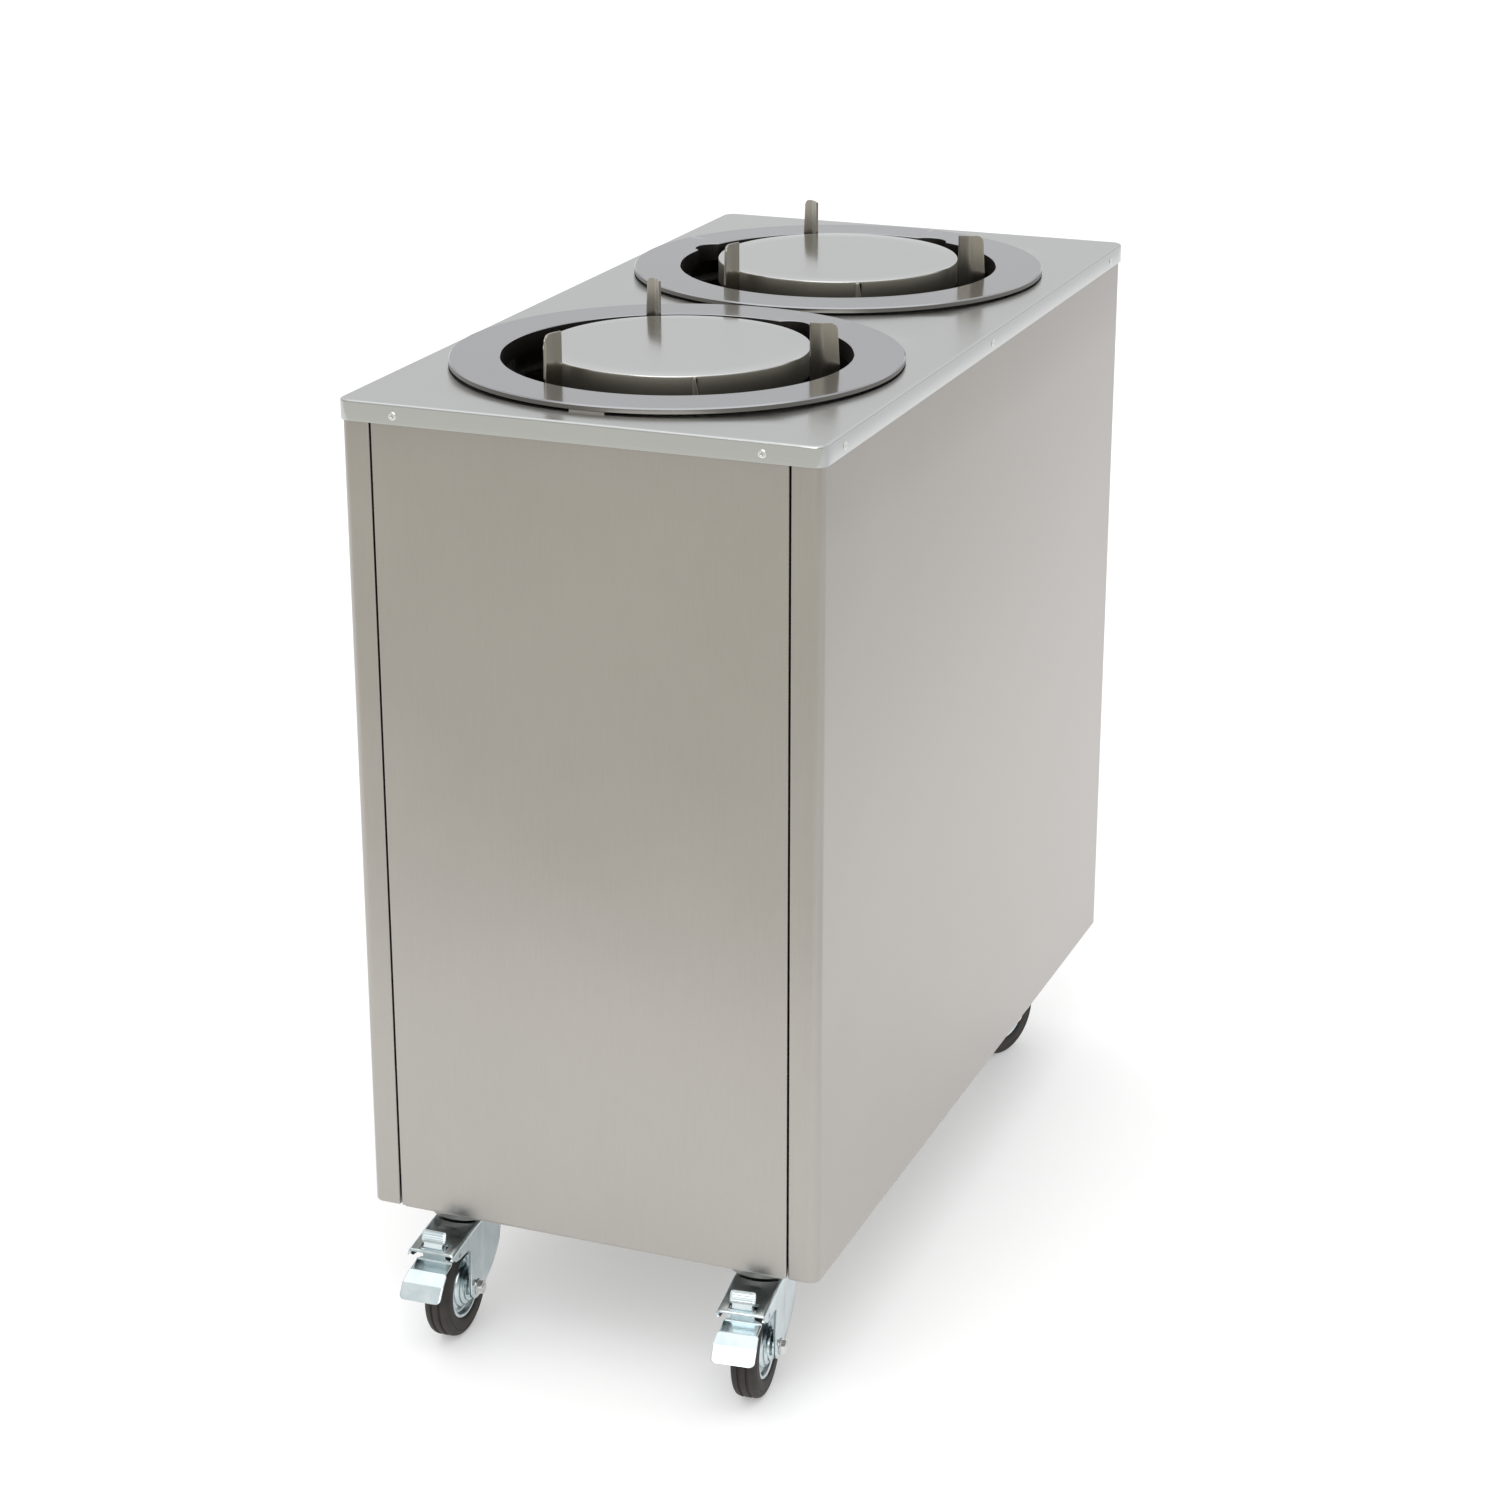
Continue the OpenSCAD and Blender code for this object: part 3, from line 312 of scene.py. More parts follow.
class Shell:
    """Gathers grids of points and flat caps into one mesh."""

    def __init__(self, name: str) -> None:
        """Starts an empty shell with the name that its object gets."""
        self.name = name
        self.points: list[Array] = []
        self.faces: list[list[int]] = []
        self.count = 0

    def grid(
        self, rows: Array, close_u: bool = False, close_v: bool = False, keep: Array | None = None
    ) -> "Shell":
        """Adds a grid and joins neighbouring points into four cornered faces.

        Args:
            rows: points on two parameters, (nu, nv, 3).
            close_u: whether the last row joins the first.
            close_v: whether the last column joins the first.
            keep: which cells get a face, one truth value per cell, or all of them.

        Returns:
            The shell itself.
        """
        index = self.count + np.arange(rows.shape[0] * rows.shape[1]).reshape(rows.shape[:2])
        if close_u:
            index = np.vstack([index, index[:1]])
        if close_v:
            index = np.hstack([index, index[:, :1]])
        quads = np.stack([index[:-1, :-1], index[1:, :-1], index[1:, 1:], index[:-1, 1:]], -1)
        quads = quads[keep] if keep is not None else quads.reshape(-1, 4)
        self.points.append(rows.reshape(-1, 3))
        self.faces += quads.reshape(-1, 4).tolist()
        self.count += rows.shape[0] * rows.shape[1]
        return self

    def cap(self, ring: Array) -> "Shell":
        """Closes a flat ring of points with one many cornered face."""
        self.points.append(ring)
        self.faces.append(list(range(self.count, self.count + len(ring))))
        self.count += len(ring)
        return self

    def prism(self, low: Array, high: Array) -> "Shell":
        """Adds the wall between two matching rings and a cap at each end."""
        self.grid(np.stack([low, high]), close_v=True)
        self.cap(low[::-1])
        return self.cap(high)

    def build(
        self,
        body: str,
        nodes: Sequence[str] = (),
        wall: float = 0.0,
        away: Sequence[float] | None = None,
        edge: float = 0.0,
        offset: float = -1.0,
        angle: float = 32.0,
    ) -> bpy.types.Object:
        """Makes the object, joins its doubled points, turns its faces outwards and hangs it.

        Args:
            body: the body that it rides on.
            nodes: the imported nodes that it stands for.
            wall: thickness that an open sheet gets, zero for a closed shell.
            away: a point that the faces of an open sheet look away from.
            edge: width of the softened edges.
            offset: side on which the wall grows, -1 behind the faces, 0 on both sides.
            angle: angle above which an edge counts as sharp, in degrees.

        Returns:
            The object.
        """
        mesh = bpy.data.meshes.new(self.name)
        mesh.from_pydata(np.vstack(self.points).tolist(), [], self.faces)
        form = bmesh.new()
        form.from_mesh(mesh)
        bmesh.ops.remove_doubles(form, verts=form.verts, dist=WELD)
        bmesh.ops.dissolve_degenerate(form, edges=form.edges, dist=TINY)
        bmesh.ops.recalc_face_normals(form, faces=form.faces)
        form.to_mesh(mesh)
        form.free()
        if away is not None:
            faces = {"center": np.empty((len(mesh.polygons), 3))}
            faces["normal"] = np.empty_like(faces["center"])
            faces["area"] = np.empty(len(mesh.polygons))
            for key, values in faces.items():
                mesh.polygons.foreach_get(key, values.ravel())
            look = ((faces["center"] - np.array(away)) * faces["normal"]).sum(-1)
            if (look * faces["area"]).sum() < 0:
                mesh.flip_normals()
        mesh.shade_smooth()
        mesh.set_sharp_from_angle(angle=math.radians(angle))
        obj = bpy.data.objects.new(self.name, mesh)
        bpy.context.scene.collection.objects.link(obj)
        if wall:
            solid = obj.modifiers.new("wall", "SOLIDIFY")
            solid.thickness = wall
            solid.offset = offset
        if edge:
            bevel = obj.modifiers.new("edge", "BEVEL")
            bevel.width = edge
            bevel.segments = 2
            bevel.limit_method = "ANGLE"
            bevel.angle_limit = math.radians(45)
            bevel.harden_normals = False
        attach(obj, body)
        if nodes:
            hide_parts(*nodes)
        LOG.info("built %s on %s, %d faces", self.name, body, len(mesh.polygons))
        return obj


# --- finishes ----------------------------------------------------------------------------------


class Grain(Enum):
    """Direction in which a sheet was brushed."""

    UPRIGHT = (1.0, 1.0, 0.02)
    ALONG = (1.0, 0.02, 1.0)
    ACROSS = (0.02, 1.0, 1.0)
    EVEN = (1.0, 1.0, 1.0)


@dataclass(frozen=True)
class BrushedSteel:
    """Stainless sheet with a fine directional grain and faint handling marks.

    Walls that a press drew are duller than the rolled flats: their roughness rises to wall where the
    surface stands upright, and there a warm grey multiplies their colour, painted shade on upright walls.
    """

    name: str
    colour: str
    grain: Grain = Grain.UPRIGHT
    roughness: float = 0.3
    roughness_swing: float = 0.06
    line_mm: float = 0.5
    bump: float = 0.04
    tone: float = 0.05
    patchy: float = 0.7
    wall: float = 0.0
    # warm grey that multiplies the colour of upright walls: painted shade
    wall_shade: str = "#FFFFFF"
    marks_per_m: float = 4.5

    def build(self) -> bpy.types.Material:
        """Builds the material: stretched noise for the grain, slow noise for the handling marks."""
        graph = Graph(self.name)
        coords = graph.coords()
        stretch = tuple(part / (self.line_mm * MM) for part in self.grain.value)
        stretched = graph.add("ShaderNodeMapping", Vector=coords, Scale=stretch).outputs[0]
        lines = graph.noise(stretched, 1.0, 3.0, 0.6)
        marks = graph.noise(coords, self.marks_per_m, 4.0, 0.55)
        slow = graph.spread(marks, 0.35 - self.patchy / 2, 0.35 + self.patchy / 2)
        mix = graph.joined("ADD", graph.spread(lines, -0.2, 0.5), slow)
        base = np.array(linear(self.colour))
        low, high = base * (1 - self.tone), np.minimum(base * (1 + self.tone), 1.0)
        swing = self.roughness_swing
        gloss = graph.spread(mix, self.roughness - swing, self.roughness + swing)
        colour = graph.ramp(mix, tuple(low), tuple(high), 0.25, 0.75)
        if self.wall > 0.0:
            upward = graph.part(graph.add("ShaderNodeNewGeometry").outputs["Normal"], "Z")
            drawn = graph.add("ShaderNodeMapRange", i0=upward, i1=0.1, i2=0.6, i3=1.0, i4=0.0).outputs[0]
            gloss = graph.joined("MAXIMUM", gloss, graph.spread(drawn, 0.0, self.wall))
            # on upright walls the colour is multiplied by a warm grey: painted shade, darker and warmer
            tint = {"data_type": "RGBA", "blend_type": "MULTIPLY"}
            wall_shade = (*linear(self.wall_shade), 1.0)
            colour = graph.add("ShaderNodeMix", tint, i0=drawn, i6=colour, i7=wall_shade).outputs[2]
        graph.set(Base_Color=colour, Metallic=1.0, Roughness=gloss)
        graph.bump(lines, self.bump, 0.0002)
        return graph.material


@dataclass(frozen=True)
class Clouded:
    """A surface with slow clouds in its colour and gloss, and a fine grit in its bump.

    Its two noises are given by their waves per metre, detail and roughness, gloss by the
    roughness where the clouds are thin and thick, and bump by its strength and distance.
    """

    name: str
    deep: str
    pale: str
    gloss: Pair
    clouds: Triple
    grit: Triple
    bump: Pair
    ramp: Pair = (0.3, 0.7)
    tint: Pair = (1.0, 1.0)
    metallic: float = 0.0

    def build(self) -> bpy.types.Material:
        """Builds the material: one noise tints colour and gloss, a fine one bumps the surface."""
        graph = Graph(self.name)
        coords = graph.coords()
        cloud = graph.noise(coords, *self.clouds)
        low, high = (
            tuple(np.minimum(np.array(linear(colour)) * tint, 1.0))
            for colour, tint in zip((self.deep, self.pale), self.tint)
        )
        colour, gloss = graph.ramp(cloud, low, high, *self.ramp), graph.spread(cloud, *self.gloss)
        graph.set(Base_Color=colour, Metallic=self.metallic, Roughness=gloss)
        graph.bump(graph.noise(coords, *self.grit), *self.bump)
        return graph.material


# dust in the pores of moulded rubber: clouds, grit, bump and ramp
DUST = ((38.0, 5.0, 0.6), (1400.0, 2.0, 0.7), (0.2, 0.0003), (0.35, 0.8))


class Finish(Enum):
    """The finishes of the cart, each with what builds it."""

    CABINET = BrushedSteel("cabinet_steel", "#ACA8A3", Grain.UPRIGHT, 0.31, 0.05)
    COVER = BrushedSteel(
        "cover_steel", "#BBBDBC", Grain.ALONG, 0.2, 0.03, bump=0.025, tone=0.03, patchy=0.3
    )
    # the last colour is painted shade: a warm grey that darkens the upright collar
    RING = BrushedSteel(
        "ring_steel", "#A4A5A8", Grain.EVEN, 0.15, 0.03, 0.5, 0.015, 0.03, 0.4, 0.3, "#D8D2C8"
    )
    # the last colour is painted shade: a warm grey that darkens the upright skirt
    CARRIER = BrushedSteel(
        "carrier_steel", "#C4C6C5", Grain.ACROSS, 0.14, 0.03, 0.5, 0.015, 0.03, 0.4, 0.46, "#D2CCBF"
    )
    BLADE = BrushedSteel("blade_steel", "#989389", Grain.UPRIGHT, 0.25, 0.05)
    # dark steel of the frame, and on the zinc lower races painted shade for the shadow under the cabinet
    FRAME_AND_RACE_SHADE = BrushedSteel("frame_steel", "#8C8B88", Grain.UPRIGHT, 0.4, 0.08)
    FASTENER = BrushedSteel("fastener_steel", "#DADAD8", Grain.EVEN, 0.22, 0.05, line_mm=0.8)
    SPRING = BrushedSteel("spring_steel", "#5A5856", Grain.EVEN, 0.35, 0.08)
    ZINC = Clouded(
        "bright_zinc", "#C2D0D4", "#D6E0E3", (0.15, 0.27), (55.0, 3.0, 0.5), (900.0, 2.0, 0.6),
        (0.04, 0.0003), (0.2, 0.6), metallic=1.0,
    )
    RUBBER = Clouded("tyre_rubber", "#1D1A18", "#3D3732", (0.52, 0.77), *DUST)
    SHOE = Clouded("brake_rubber", "#171615", "#2C2A28", (0.6, 0.85), *DUST)
    GLIDE = Clouded(
        "glide_plastic", "#DEDDD6", "#DEDDD6", (0.39, 0.53), (30.0, 3.0, 0.5), (1200.0, 1.0, 0.5),
        (0.05, 0.0002), tint=(0.9, 1.06),
    )


class Finishes:
    """Builds each finish once and puts it on objects."""

    def __init__(self) -> None:
        """Starts with no material built."""
        self._built: dict[Finish, bpy.types.Material] = {}

    def material(self, finish: Finish) -> bpy.types.Material:
        """Returns the finish's material, built on first use."""
        if finish not in self._built:
            self._built[finish] = finish.value.build()
        return self._built[finish]

    def dress(self, obj: bpy.types.Object, finish: Finish) -> None:
        """Puts one finish in every material slot of an object."""
        if not obj.data.materials:
            obj.data.materials.append(self.material(finish))
        for slot in obj.material_slots:
            slot.material = self.material(finish)

    def hang(
        self, shell: Shell, finish: Finish, slot: str, body: str, nodes: Sequence[str] = (), **form: Any
    ) -> None:
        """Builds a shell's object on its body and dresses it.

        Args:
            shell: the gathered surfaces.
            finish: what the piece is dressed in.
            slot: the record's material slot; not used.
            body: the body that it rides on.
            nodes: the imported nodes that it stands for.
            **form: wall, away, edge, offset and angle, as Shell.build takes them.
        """
        obj = shell.build(body, nodes, **form)
        self.dress(obj, finish)


# --- the cart ----------------------------------------------------------------------------------


@dataclass(frozen=True)
class Layout:
    """Places and heights that the sub-assemblies share, in metres."""

    middle_y: float
    half_w: float = 0.225
    half_d: float = 0.454
    well_x: float = -0.0068
    well_y: float = 0.212
    cabinet_z: float = 0.1355
    under_z: float = 0.915
    cover_z: float = 0.9165
    ring_z: float = 0.923
    disc_z: float = 0.9305
    corner_r: float = 0.010
    overhang: float = 0.0023

    def on_cart(self, points: Array) -> Array:
        """Moves points drawn about the cabinet's middle onto the cart."""
        return moved(points, y=self.middle_y)

    def at_well(self, side: int, points: Array) -> Array:
        """Moves points drawn about a well's axis onto the front (-1) or rear (1) well."""
        return moved(points, self.well_x, self.middle_y + side * self.well_y)

    def centre(self, side: int = 0, z: float = 0.5) -> Triple:
        """Returns a point on the cart's middle line or on a well's axis."""
        return (abs(side) * self.well_x, self.middle_y + side * self.well_y, z)


# a blind rivet's section, in shares of its head's radius and height, from the mandrel's pit outwards
RIVET = np.array(
    [(0.0, -4.2), (0.30, -4.2), (0.33, 0.2), (0.38, 0.75), (0.5, 1.0), (0.7, 0.9)]
    + [(0.88, 0.62), (0.97, 0.3), (1.0, 0.12), (1.0, 0.05), (0.425, 0.0), (0.425, -5.0)]
)


@dataclass
class TopCover:
    """Folded cover: flat sheet, bent edges, lip all round, two round openings, ten rivets."""

    layout: Layout
    finishes: Finishes
    lip: float = 0.0185
    sheet: float = 0.0015
    bend: float = 0.0022
    inset: float = 0.004
    step: float = 0.012
    crossings: int = 40
    hole_r: float = 0.186
    softened: float = 0.0003
    rivet_r: float = 0.004
    rivet_h: float = 0.001
    rivet_x: float = 0.172
    rivet_y: float = 0.406
    rivet_drop: float = 0.0105

    def edge_ring(self) -> tuple[Array, Array]:
        """Returns the cover's outline, anticlockwise, with points on the middle line, and its normals."""
        lay = self.layout
        w, d, r = (size + lay.overhang for size in (lay.half_w, lay.half_d, lay.corner_r))
        corners = [(w, 0), (w, d), (-w, d), (-w, 0), (-w, -d), (w, -d)]
        line = rounded(corners, [0, r, r, 0, r, r], closed=True, steps=9)
        line = densified(line, self.step, closed=True)
        return line, outward(line, closed=True)

    def rim(self, line: Array, normals: Array) -> Array:
        """Carries the profile of edge and lip along the outline.

        The profile starts flat, turns down on an arc of the bend's radius, and drops to the lip's
        foot: inset bend * (1 - sin(a)), drop bend * (1 - cos(a)), with a from 0 to 90 degrees.

        Args:
            line: the outline, (n, 2).
            normals: its unit normals, outward.

        Returns:
            The grid of points, one row for each point of the outline.
        """
        turn = np.linspace(0, QUARTER, 6)
        inset = np.concatenate([[self.inset], self.bend * (1 - np.sin(turn)), [0.0]])
        drop = np.concatenate([[0.0], self.bend * (1 - np.cos(turn)), [self.lip]])
        return lifted(line[:, None] - normals[:, None] * inset[:, None], self.layout.cover_z - drop)

    def field(self, side: int, line: Array, normals: Array) -> Array:
        """Spans the flat sheet between one opening and its half of the outline.

        Rays from the well's axis meet the opening's circle and the half outline: the rows are the
        shares between these two points.

        Args:
            side: the front (-1) or rear (1) opening.
            line: the outline, (n, 2).
            normals: its unit normals, outward.

        Returns:
            The grid of points, one row for each ray.
        """
        edge = line - normals * self.inset
        edge = edge[edge[:, 1] * side >= -TINY]
        width = np.abs(edge[:, 0]).max()
        cross = np.linspace(-width, width, self.crossings)[1:-1]
        ring = np.vstack([edge, np.stack([cross, np.zeros_like(cross)], -1)])
        centre = np.array([self.layout.well_x, side * self.layout.well_y])
        angle = np.arctan2(ring[:, 1] - centre[1], ring[:, 0] - centre[0])
        order = np.argsort(angle)
        circle = centre + self.hole_r * ray(angle[order])
        share = np.array([0.0, 0.5, 1.0])[None, :, None]
        flat = circle[:, None] * (1 - share) + ring[order][:, None] * share
        return lifted(flat, self.layout.cover_z)

    def rivets(self) -> None:
        """Turns ten blind rivets: a low domed head round the pit that the mandrel left."""
        lay = self.layout
        along, up, out = np.moveaxis(lathe(RIVET * [self.rivet_r, self.rivet_h], 24), -1, 0)
        x, y, z = lay.half_w + lay.overhang, lay.half_d + lay.overhang, lay.cover_z - self.rivet_drop
        shell = Shell("blind_rivets")
        for side in (-1, 1):
            for end in (-1, 1):
                head = np.stack([along, side * out, up], -1)
                shell.grid(lay.on_cart(moved(head, end * self.rivet_x, side * y, z)), close_u=True)
            for row in (-1, 0, 1):
                head = np.stack([side * out, along, up], -1)
                shell.grid(lay.on_cart(moved(head, side * x, row * self.rivet_y, z)), close_u=True)
        self.finishes.hang(
            shell, Finish.FASTENER, "fastener_steel", "cart", ["cover_rivets"], angle=50
        )

    def build(self) -> None:
        """Builds the folded sheet and its rivets."""
        line, normals = self.edge_ring()
        grids = [self.rim(line, normals)] + [self.field(side, line, normals) for side in (-1, 1)]
        shell = Shell("folded_cover")
        for grid in grids:
            shell.grid(self.layout.on_cart(grid), close_u=True)
        form = {"wall": self.sheet, "away": self.layout.centre(), "edge": self.softened}
        self.finishes.hang(shell, Finish.COVER, "cover_sheet", "cart", ["top_cover"], **form)
        self.rivets()


@dataclass
class Cabinet:
    """Skins of the cabinet: two side panels that wrap the corners, two end panels between seams."""

    layout: Layout
    finishes: Finishes
    sheet: float = 0.0012
    seam_x: float = 0.196
    seam_gap: float = 0.0015
    fold: float = 0.015
    hem: float = 0.015
    bend: float = 0.0016
    softened: float = 0.00025
    levels: int = 9

    def rows(self) -> tuple[Array, Array]:
        """Returns the insets and heights from the top down and round the bottom bend."""
        turn = np.linspace(0, QUARTER, 5)[1:]
        low = self.layout.cabinet_z
        inset = np.concatenate([np.zeros(self.levels), self.bend * (1 - np.cos(turn))])
        wall = np.linspace(self.layout.under_z, low + self.bend, self.levels)
        return inset, np.concatenate([wall, low + self.bend * (1 - np.sin(turn))])

    def skin(self, name: str, node: str, line: Array, hem: Array) -> None:
        """Drops a plan line from top to bottom, turns its foot in and adds the hem.

        Args:
            name: the piece's name.
            node: the node that the piece stands for.
            line: the outer face in plan, with outward to its right.
            hem: corners of the flat hem, (2, 2, 2), outer edge first.
        """
        inset, z = self.rows()
        wall = lifted(line[:, None] - outward(line)[:, None] * inset[:, None], z)
        shell = Shell(name).grid(self.layout.on_cart(wall))
        shell.grid(self.layout.on_cart(lifted(hem, self.layout.cabinet_z)))
        form = {"wall": self.sheet, "away": self.layout.centre(), "edge": self.softened}
        self.finishes.hang(shell, Finish.CABINET, "cabinet_sheet", "cart", [node], **form)

    def side(self, side: int) -> None:
        """Builds a side panel: folds, returns, round corners and the long face."""
        w, d, corner = self.layout.half_w, self.layout.half_d, self.layout.corner_r
        edge, fold = self.seam_x + self.seam_gap / 2, d - self.fold
        corners = [(edge, -fold), (edge, -d), (w, -d), (w, d), (edge, d), (edge, fold)]
        line = rounded(corners, [0, self.bend, corner, corner, self.bend, 0], steps=9)
        if side < 0:
            line = (line * [-1, 1])[::-1]
        reach = d - corner
        x = side * (w - self.bend - HAIR), side * (w - self.hem)
        hem = np.array([[(x[0], y), (x[1], y)] for y in (-reach, reach)])
        name = "right" if side > 0 else "left"
        self.skin(f"{name}_wrapped_side", f"{name}_side_panel", line, hem)

    def end(self, side: int) -> None:
        """Builds an end panel: the flat face with a fold at each seam."""
        d, edge = self.layout.half_d, self.seam_x - self.seam_gap / 2
        fold = d - self.fold
        corners = [(-edge, -fold), (-edge, -d), (edge, -d), (edge, -fold)]
        line = rounded(corners, [0, self.bend, self.bend, 0])
        if side > 0:
            line = line * [-1, -1]
        y = side * (d - self.bend - HAIR), side * (d - self.hem)
        reach = edge - 2 * self.bend
        hem = np.array([[(x, y[0]), (x, y[1])] for x in (-reach, reach)])
        name = "rear" if side > 0 else "front"
        self.skin(f"{name}_end_sheet", f"{name}_panel", line, hem)

    def build(self) -> None:
        """Builds the four skins."""
        for side in (-1, 1):
            self.side(side)
            self.end(side)


class Assembly:
    """A group of pieces whose bodies and nodes carry the group's name."""

    name: str
    finishes: Finishes

    def hang(
        self, shell: Shell, finish: Finish, slot: str, part: str = "", node: str = "", **form: Any
    ) -> None:
        """Hangs a piece on one of the group's bodies.

        Args:
            shell: the gathered surfaces.
            finish: what the piece is dressed in.
            slot: the record's material slot.
            part: the body without the group's name, or none for the cart itself.
            node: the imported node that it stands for, without the group's name, or none.
            **form: what Shell.build takes.
        """
        body = f"{self.name}_{part}" if part else "cart"
        nodes = [f"{self.name}_{node}"] if node else []
        self.finishes.hang(shell, finish, slot, body, nodes, **form)


@dataclass
class Well(Assembly):
    """One well: flange ring with its notches, plate carrier, three guide blades and their springs."""

    layout: Layout
    finishes: Finishes
    side: int
    notches: tuple[float, ...]
    ring_r: float = 0.208
    open_r: float = 0.161
    sheet: float = 0.0015
    bend: float = 0.0012
    lip: float = 0.0006
    rim: float = 0.005
    collar: float = 0.018
    softened: float = 0.0003
    notch_r: float = 0.0205
    notch_at: float = 0.1515
    notch_fine: float = 8.5
    notch_clear: float = 9.0
    notch_points: int = 61
    ring_points: int = 256
    joints: tuple[float, ...] = (60.0, 180.0, 300.0)
    directions: tuple[float, ...] = (0.0, 120.0, 240.0)
    disc_r: float = 0.122
    disc_edge: float = 0.0013
    disc_sheet: float = 0.0012
    disc_rings: tuple[float, ...] = (0.02, 0.06, 0.10)
    disc_phase: float = 0.011
    skirt: float = 0.024
    slot_w: float = 0.0045
    slot_h: float = 0.021
    fin: float = 0.0032
    fin_w: Pair = (0.0038, 0.0032)
    fin_from: Pair = (0.0003, 0.0014)
    blade_in: float = 0.129
    blade_up: float = 0.045
    blade_sheet: float = 0.002
    blade_softened: float = 0.0004
    blade_foot: float = 0.005
    blade_step: float = 0.002
    leaf_in: float = 0.012
    leaf_out: float = 0.0133
    leaf_in_a: float = 7.5
    leaf_out_a: float = 31.0
    leaf_fold: float = 0.012
    taper: float = 0.0019
    taper_h: float = 0.038
    blade_corner: float = 0.007
    hoop_cut: Pair = (0.0097, 0.0066)
    rod: Pair = (0.150498, 0.007335)
    barrel: Pair = (0.0031, 0.005)
    barrel_softened: float = 0.0002
    hoop_z: float = 0.8837
    foot_z: float = 0.164
    spring_z: Pair = (0.6531, 0.8838)
    spring_at: Pair = (0.172, 10.5)
    coil_turns: int = 29
    coil_r: float = 0.0070
    wire_r: float = 0.0009

    @property
    def name(self) -> str:
        """Names the well by its end of the cart."""
        return "rear" if self.side > 0 else "front"

    def opening(self, angle: Array) -> Array:
        """Returns the opening's radius at each angle.

        It is open_r, or within a notch the far crossing of the ray with the notch's circle:
        at * cos(p) + sqrt(r^2 - (at * sin(p))^2), where p is the angle from the notch.
        """
        radius = np.full_like(angle, self.open_r)
        for degrees in self.notches:
            p = wrapped(angle - math.radians(degrees))
            root = self.notch_r**2 - (self.notch_at * np.sin(p)) ** 2
            far = self.notch_at * np.cos(p) + np.sqrt(np.maximum(root, 0.0))
            radius = np.where((root > 0) & (np.abs(p) < 0.5), np.maximum(radius, far), radius)
        return radius

    def flange_angles(self) -> Array:
        """Returns the angles of the ring's points, close together at the notches."""
        angle = around(self.ring_points)
        for degrees in self.notches:
            notch = math.radians(degrees)
            fine = notch + np.radians(np.linspace(-self.notch_fine, self.notch_fine, self.notch_points))
            clear = np.abs(wrapped(angle - notch)) > math.radians(self.notch_clear)
            angle = np.concatenate([angle[clear], fine])
        return np.sort(angle % TURN)

    def flange(self) -> None:
        """Builds the flange ring: collar, flat and rim, with both edges broken at 45 degrees."""
        angle = self.flange_angles()
        out = ray(angle)
        inner = out * self.opening(angle)[:, None]
        into = outward(inner, closed=True) * self.lip
        top, r, b = self.layout.ring_z, self.ring_r, self.bend
        middle = (inner + into) * 0.5 + out * (r - b) * 0.5
        parts = [(inner, top - self.collar), (inner, top - self.lip), (inner + into, top), (middle, top)]
        parts += [(out * (r - b), top), (out * r, top - b), (out * r, top - self.rim)]
        rows = np.stack([lifted(flat, z) for flat, z in parts], 1)
        shell = Shell(f"{self.name}_flange_ring")
        shell.grid(self.layout.at_well(self.side, rows), close_u=True)
        away = self.layout.centre(self.side, 0.7)
        form = {"wall": self.sheet, "away": away, "edge": self.softened}
        self.hang(shell, Finish.RING, "ring_sheet", node="well_ring", **form)

    def fins(self) -> list[Array]:
        """Returns the flared fin at each joint of the skirt.

        A fin stands out from the skirt by fin * (0.3 + 0.7 * d) * w^3, with d from 0 at the edge
        to 1 below and w from 0 at the skirt to 1 at the fin's free edge.
        """
        down = np.linspace(0, 1, 9)[:, None]
        out = np.linspace(0, 1, 7)[None, :]
        x = self.disc_r - self.fin_from[0] + self.fin * (0.3 + 0.7 * down) * out**3
        y = -self.slot_w / 2 - self.fin_from[1] + (self.fin_w[0] + self.fin_w[1] * down) * out
        z = self.layout.disc_z - self.disc_edge - down * (self.skirt - self.disc_edge)
        strip = np.stack(np.broadcast_arrays(x, y, z), -1)
        return [spun(strip, joint) for joint in self.joints]

    def carrier(self) -> None:
        """Builds the carrier's plate: flat, rolled edge, skirt open at its joints, and fins."""
        top, r, e = self.layout.disc_z, self.disc_r, self.disc_edge
        turn = np.linspace(0, QUARTER, 8)
        radius = np.concatenate([self.disc_rings, r - e + e * np.sin(turn), [r, r]])
        low = [-self.skirt + self.slot_h, -self.skirt]
        z = np.concatenate([np.zeros(len(self.disc_rings)), -e + e * np.cos(turn), low])
        half, joints = self.slot_w / 2 / r, np.radians(self.joints)
        angle = np.concatenate([around(192) + self.disc_phase, joints - half, joints + half])
        angle = np.sort(angle)
        rows = self.layout.at_well(self.side, lathe(np.stack([radius, top + z], -1), angles=angle))
        middle = angle + (np.roll(angle, -1) - angle) % TURN / 2
        keep = np.ones((len(angle), len(radius) - 1), bool)
        keep[np.min(np.abs(wrapped(middle[:, None] - joints)), 1) < half, -1] = False
        shell = Shell(f"{self.name}_lift_plate").grid(rows, close_u=True, keep=keep)
        shell.cap(rows[:, 0])
        for fin in self.fins():
            shell.grid(self.layout.at_well(self.side, fin))
        away = self.layout.centre(self.side, 0.8)
        form = {"wall": self.disc_sheet, "away": away, "edge": self.softened}
        self.hang(shell, Finish.CARRIER, "carrier_sheet", "carrier", "carrier_plate", **form)

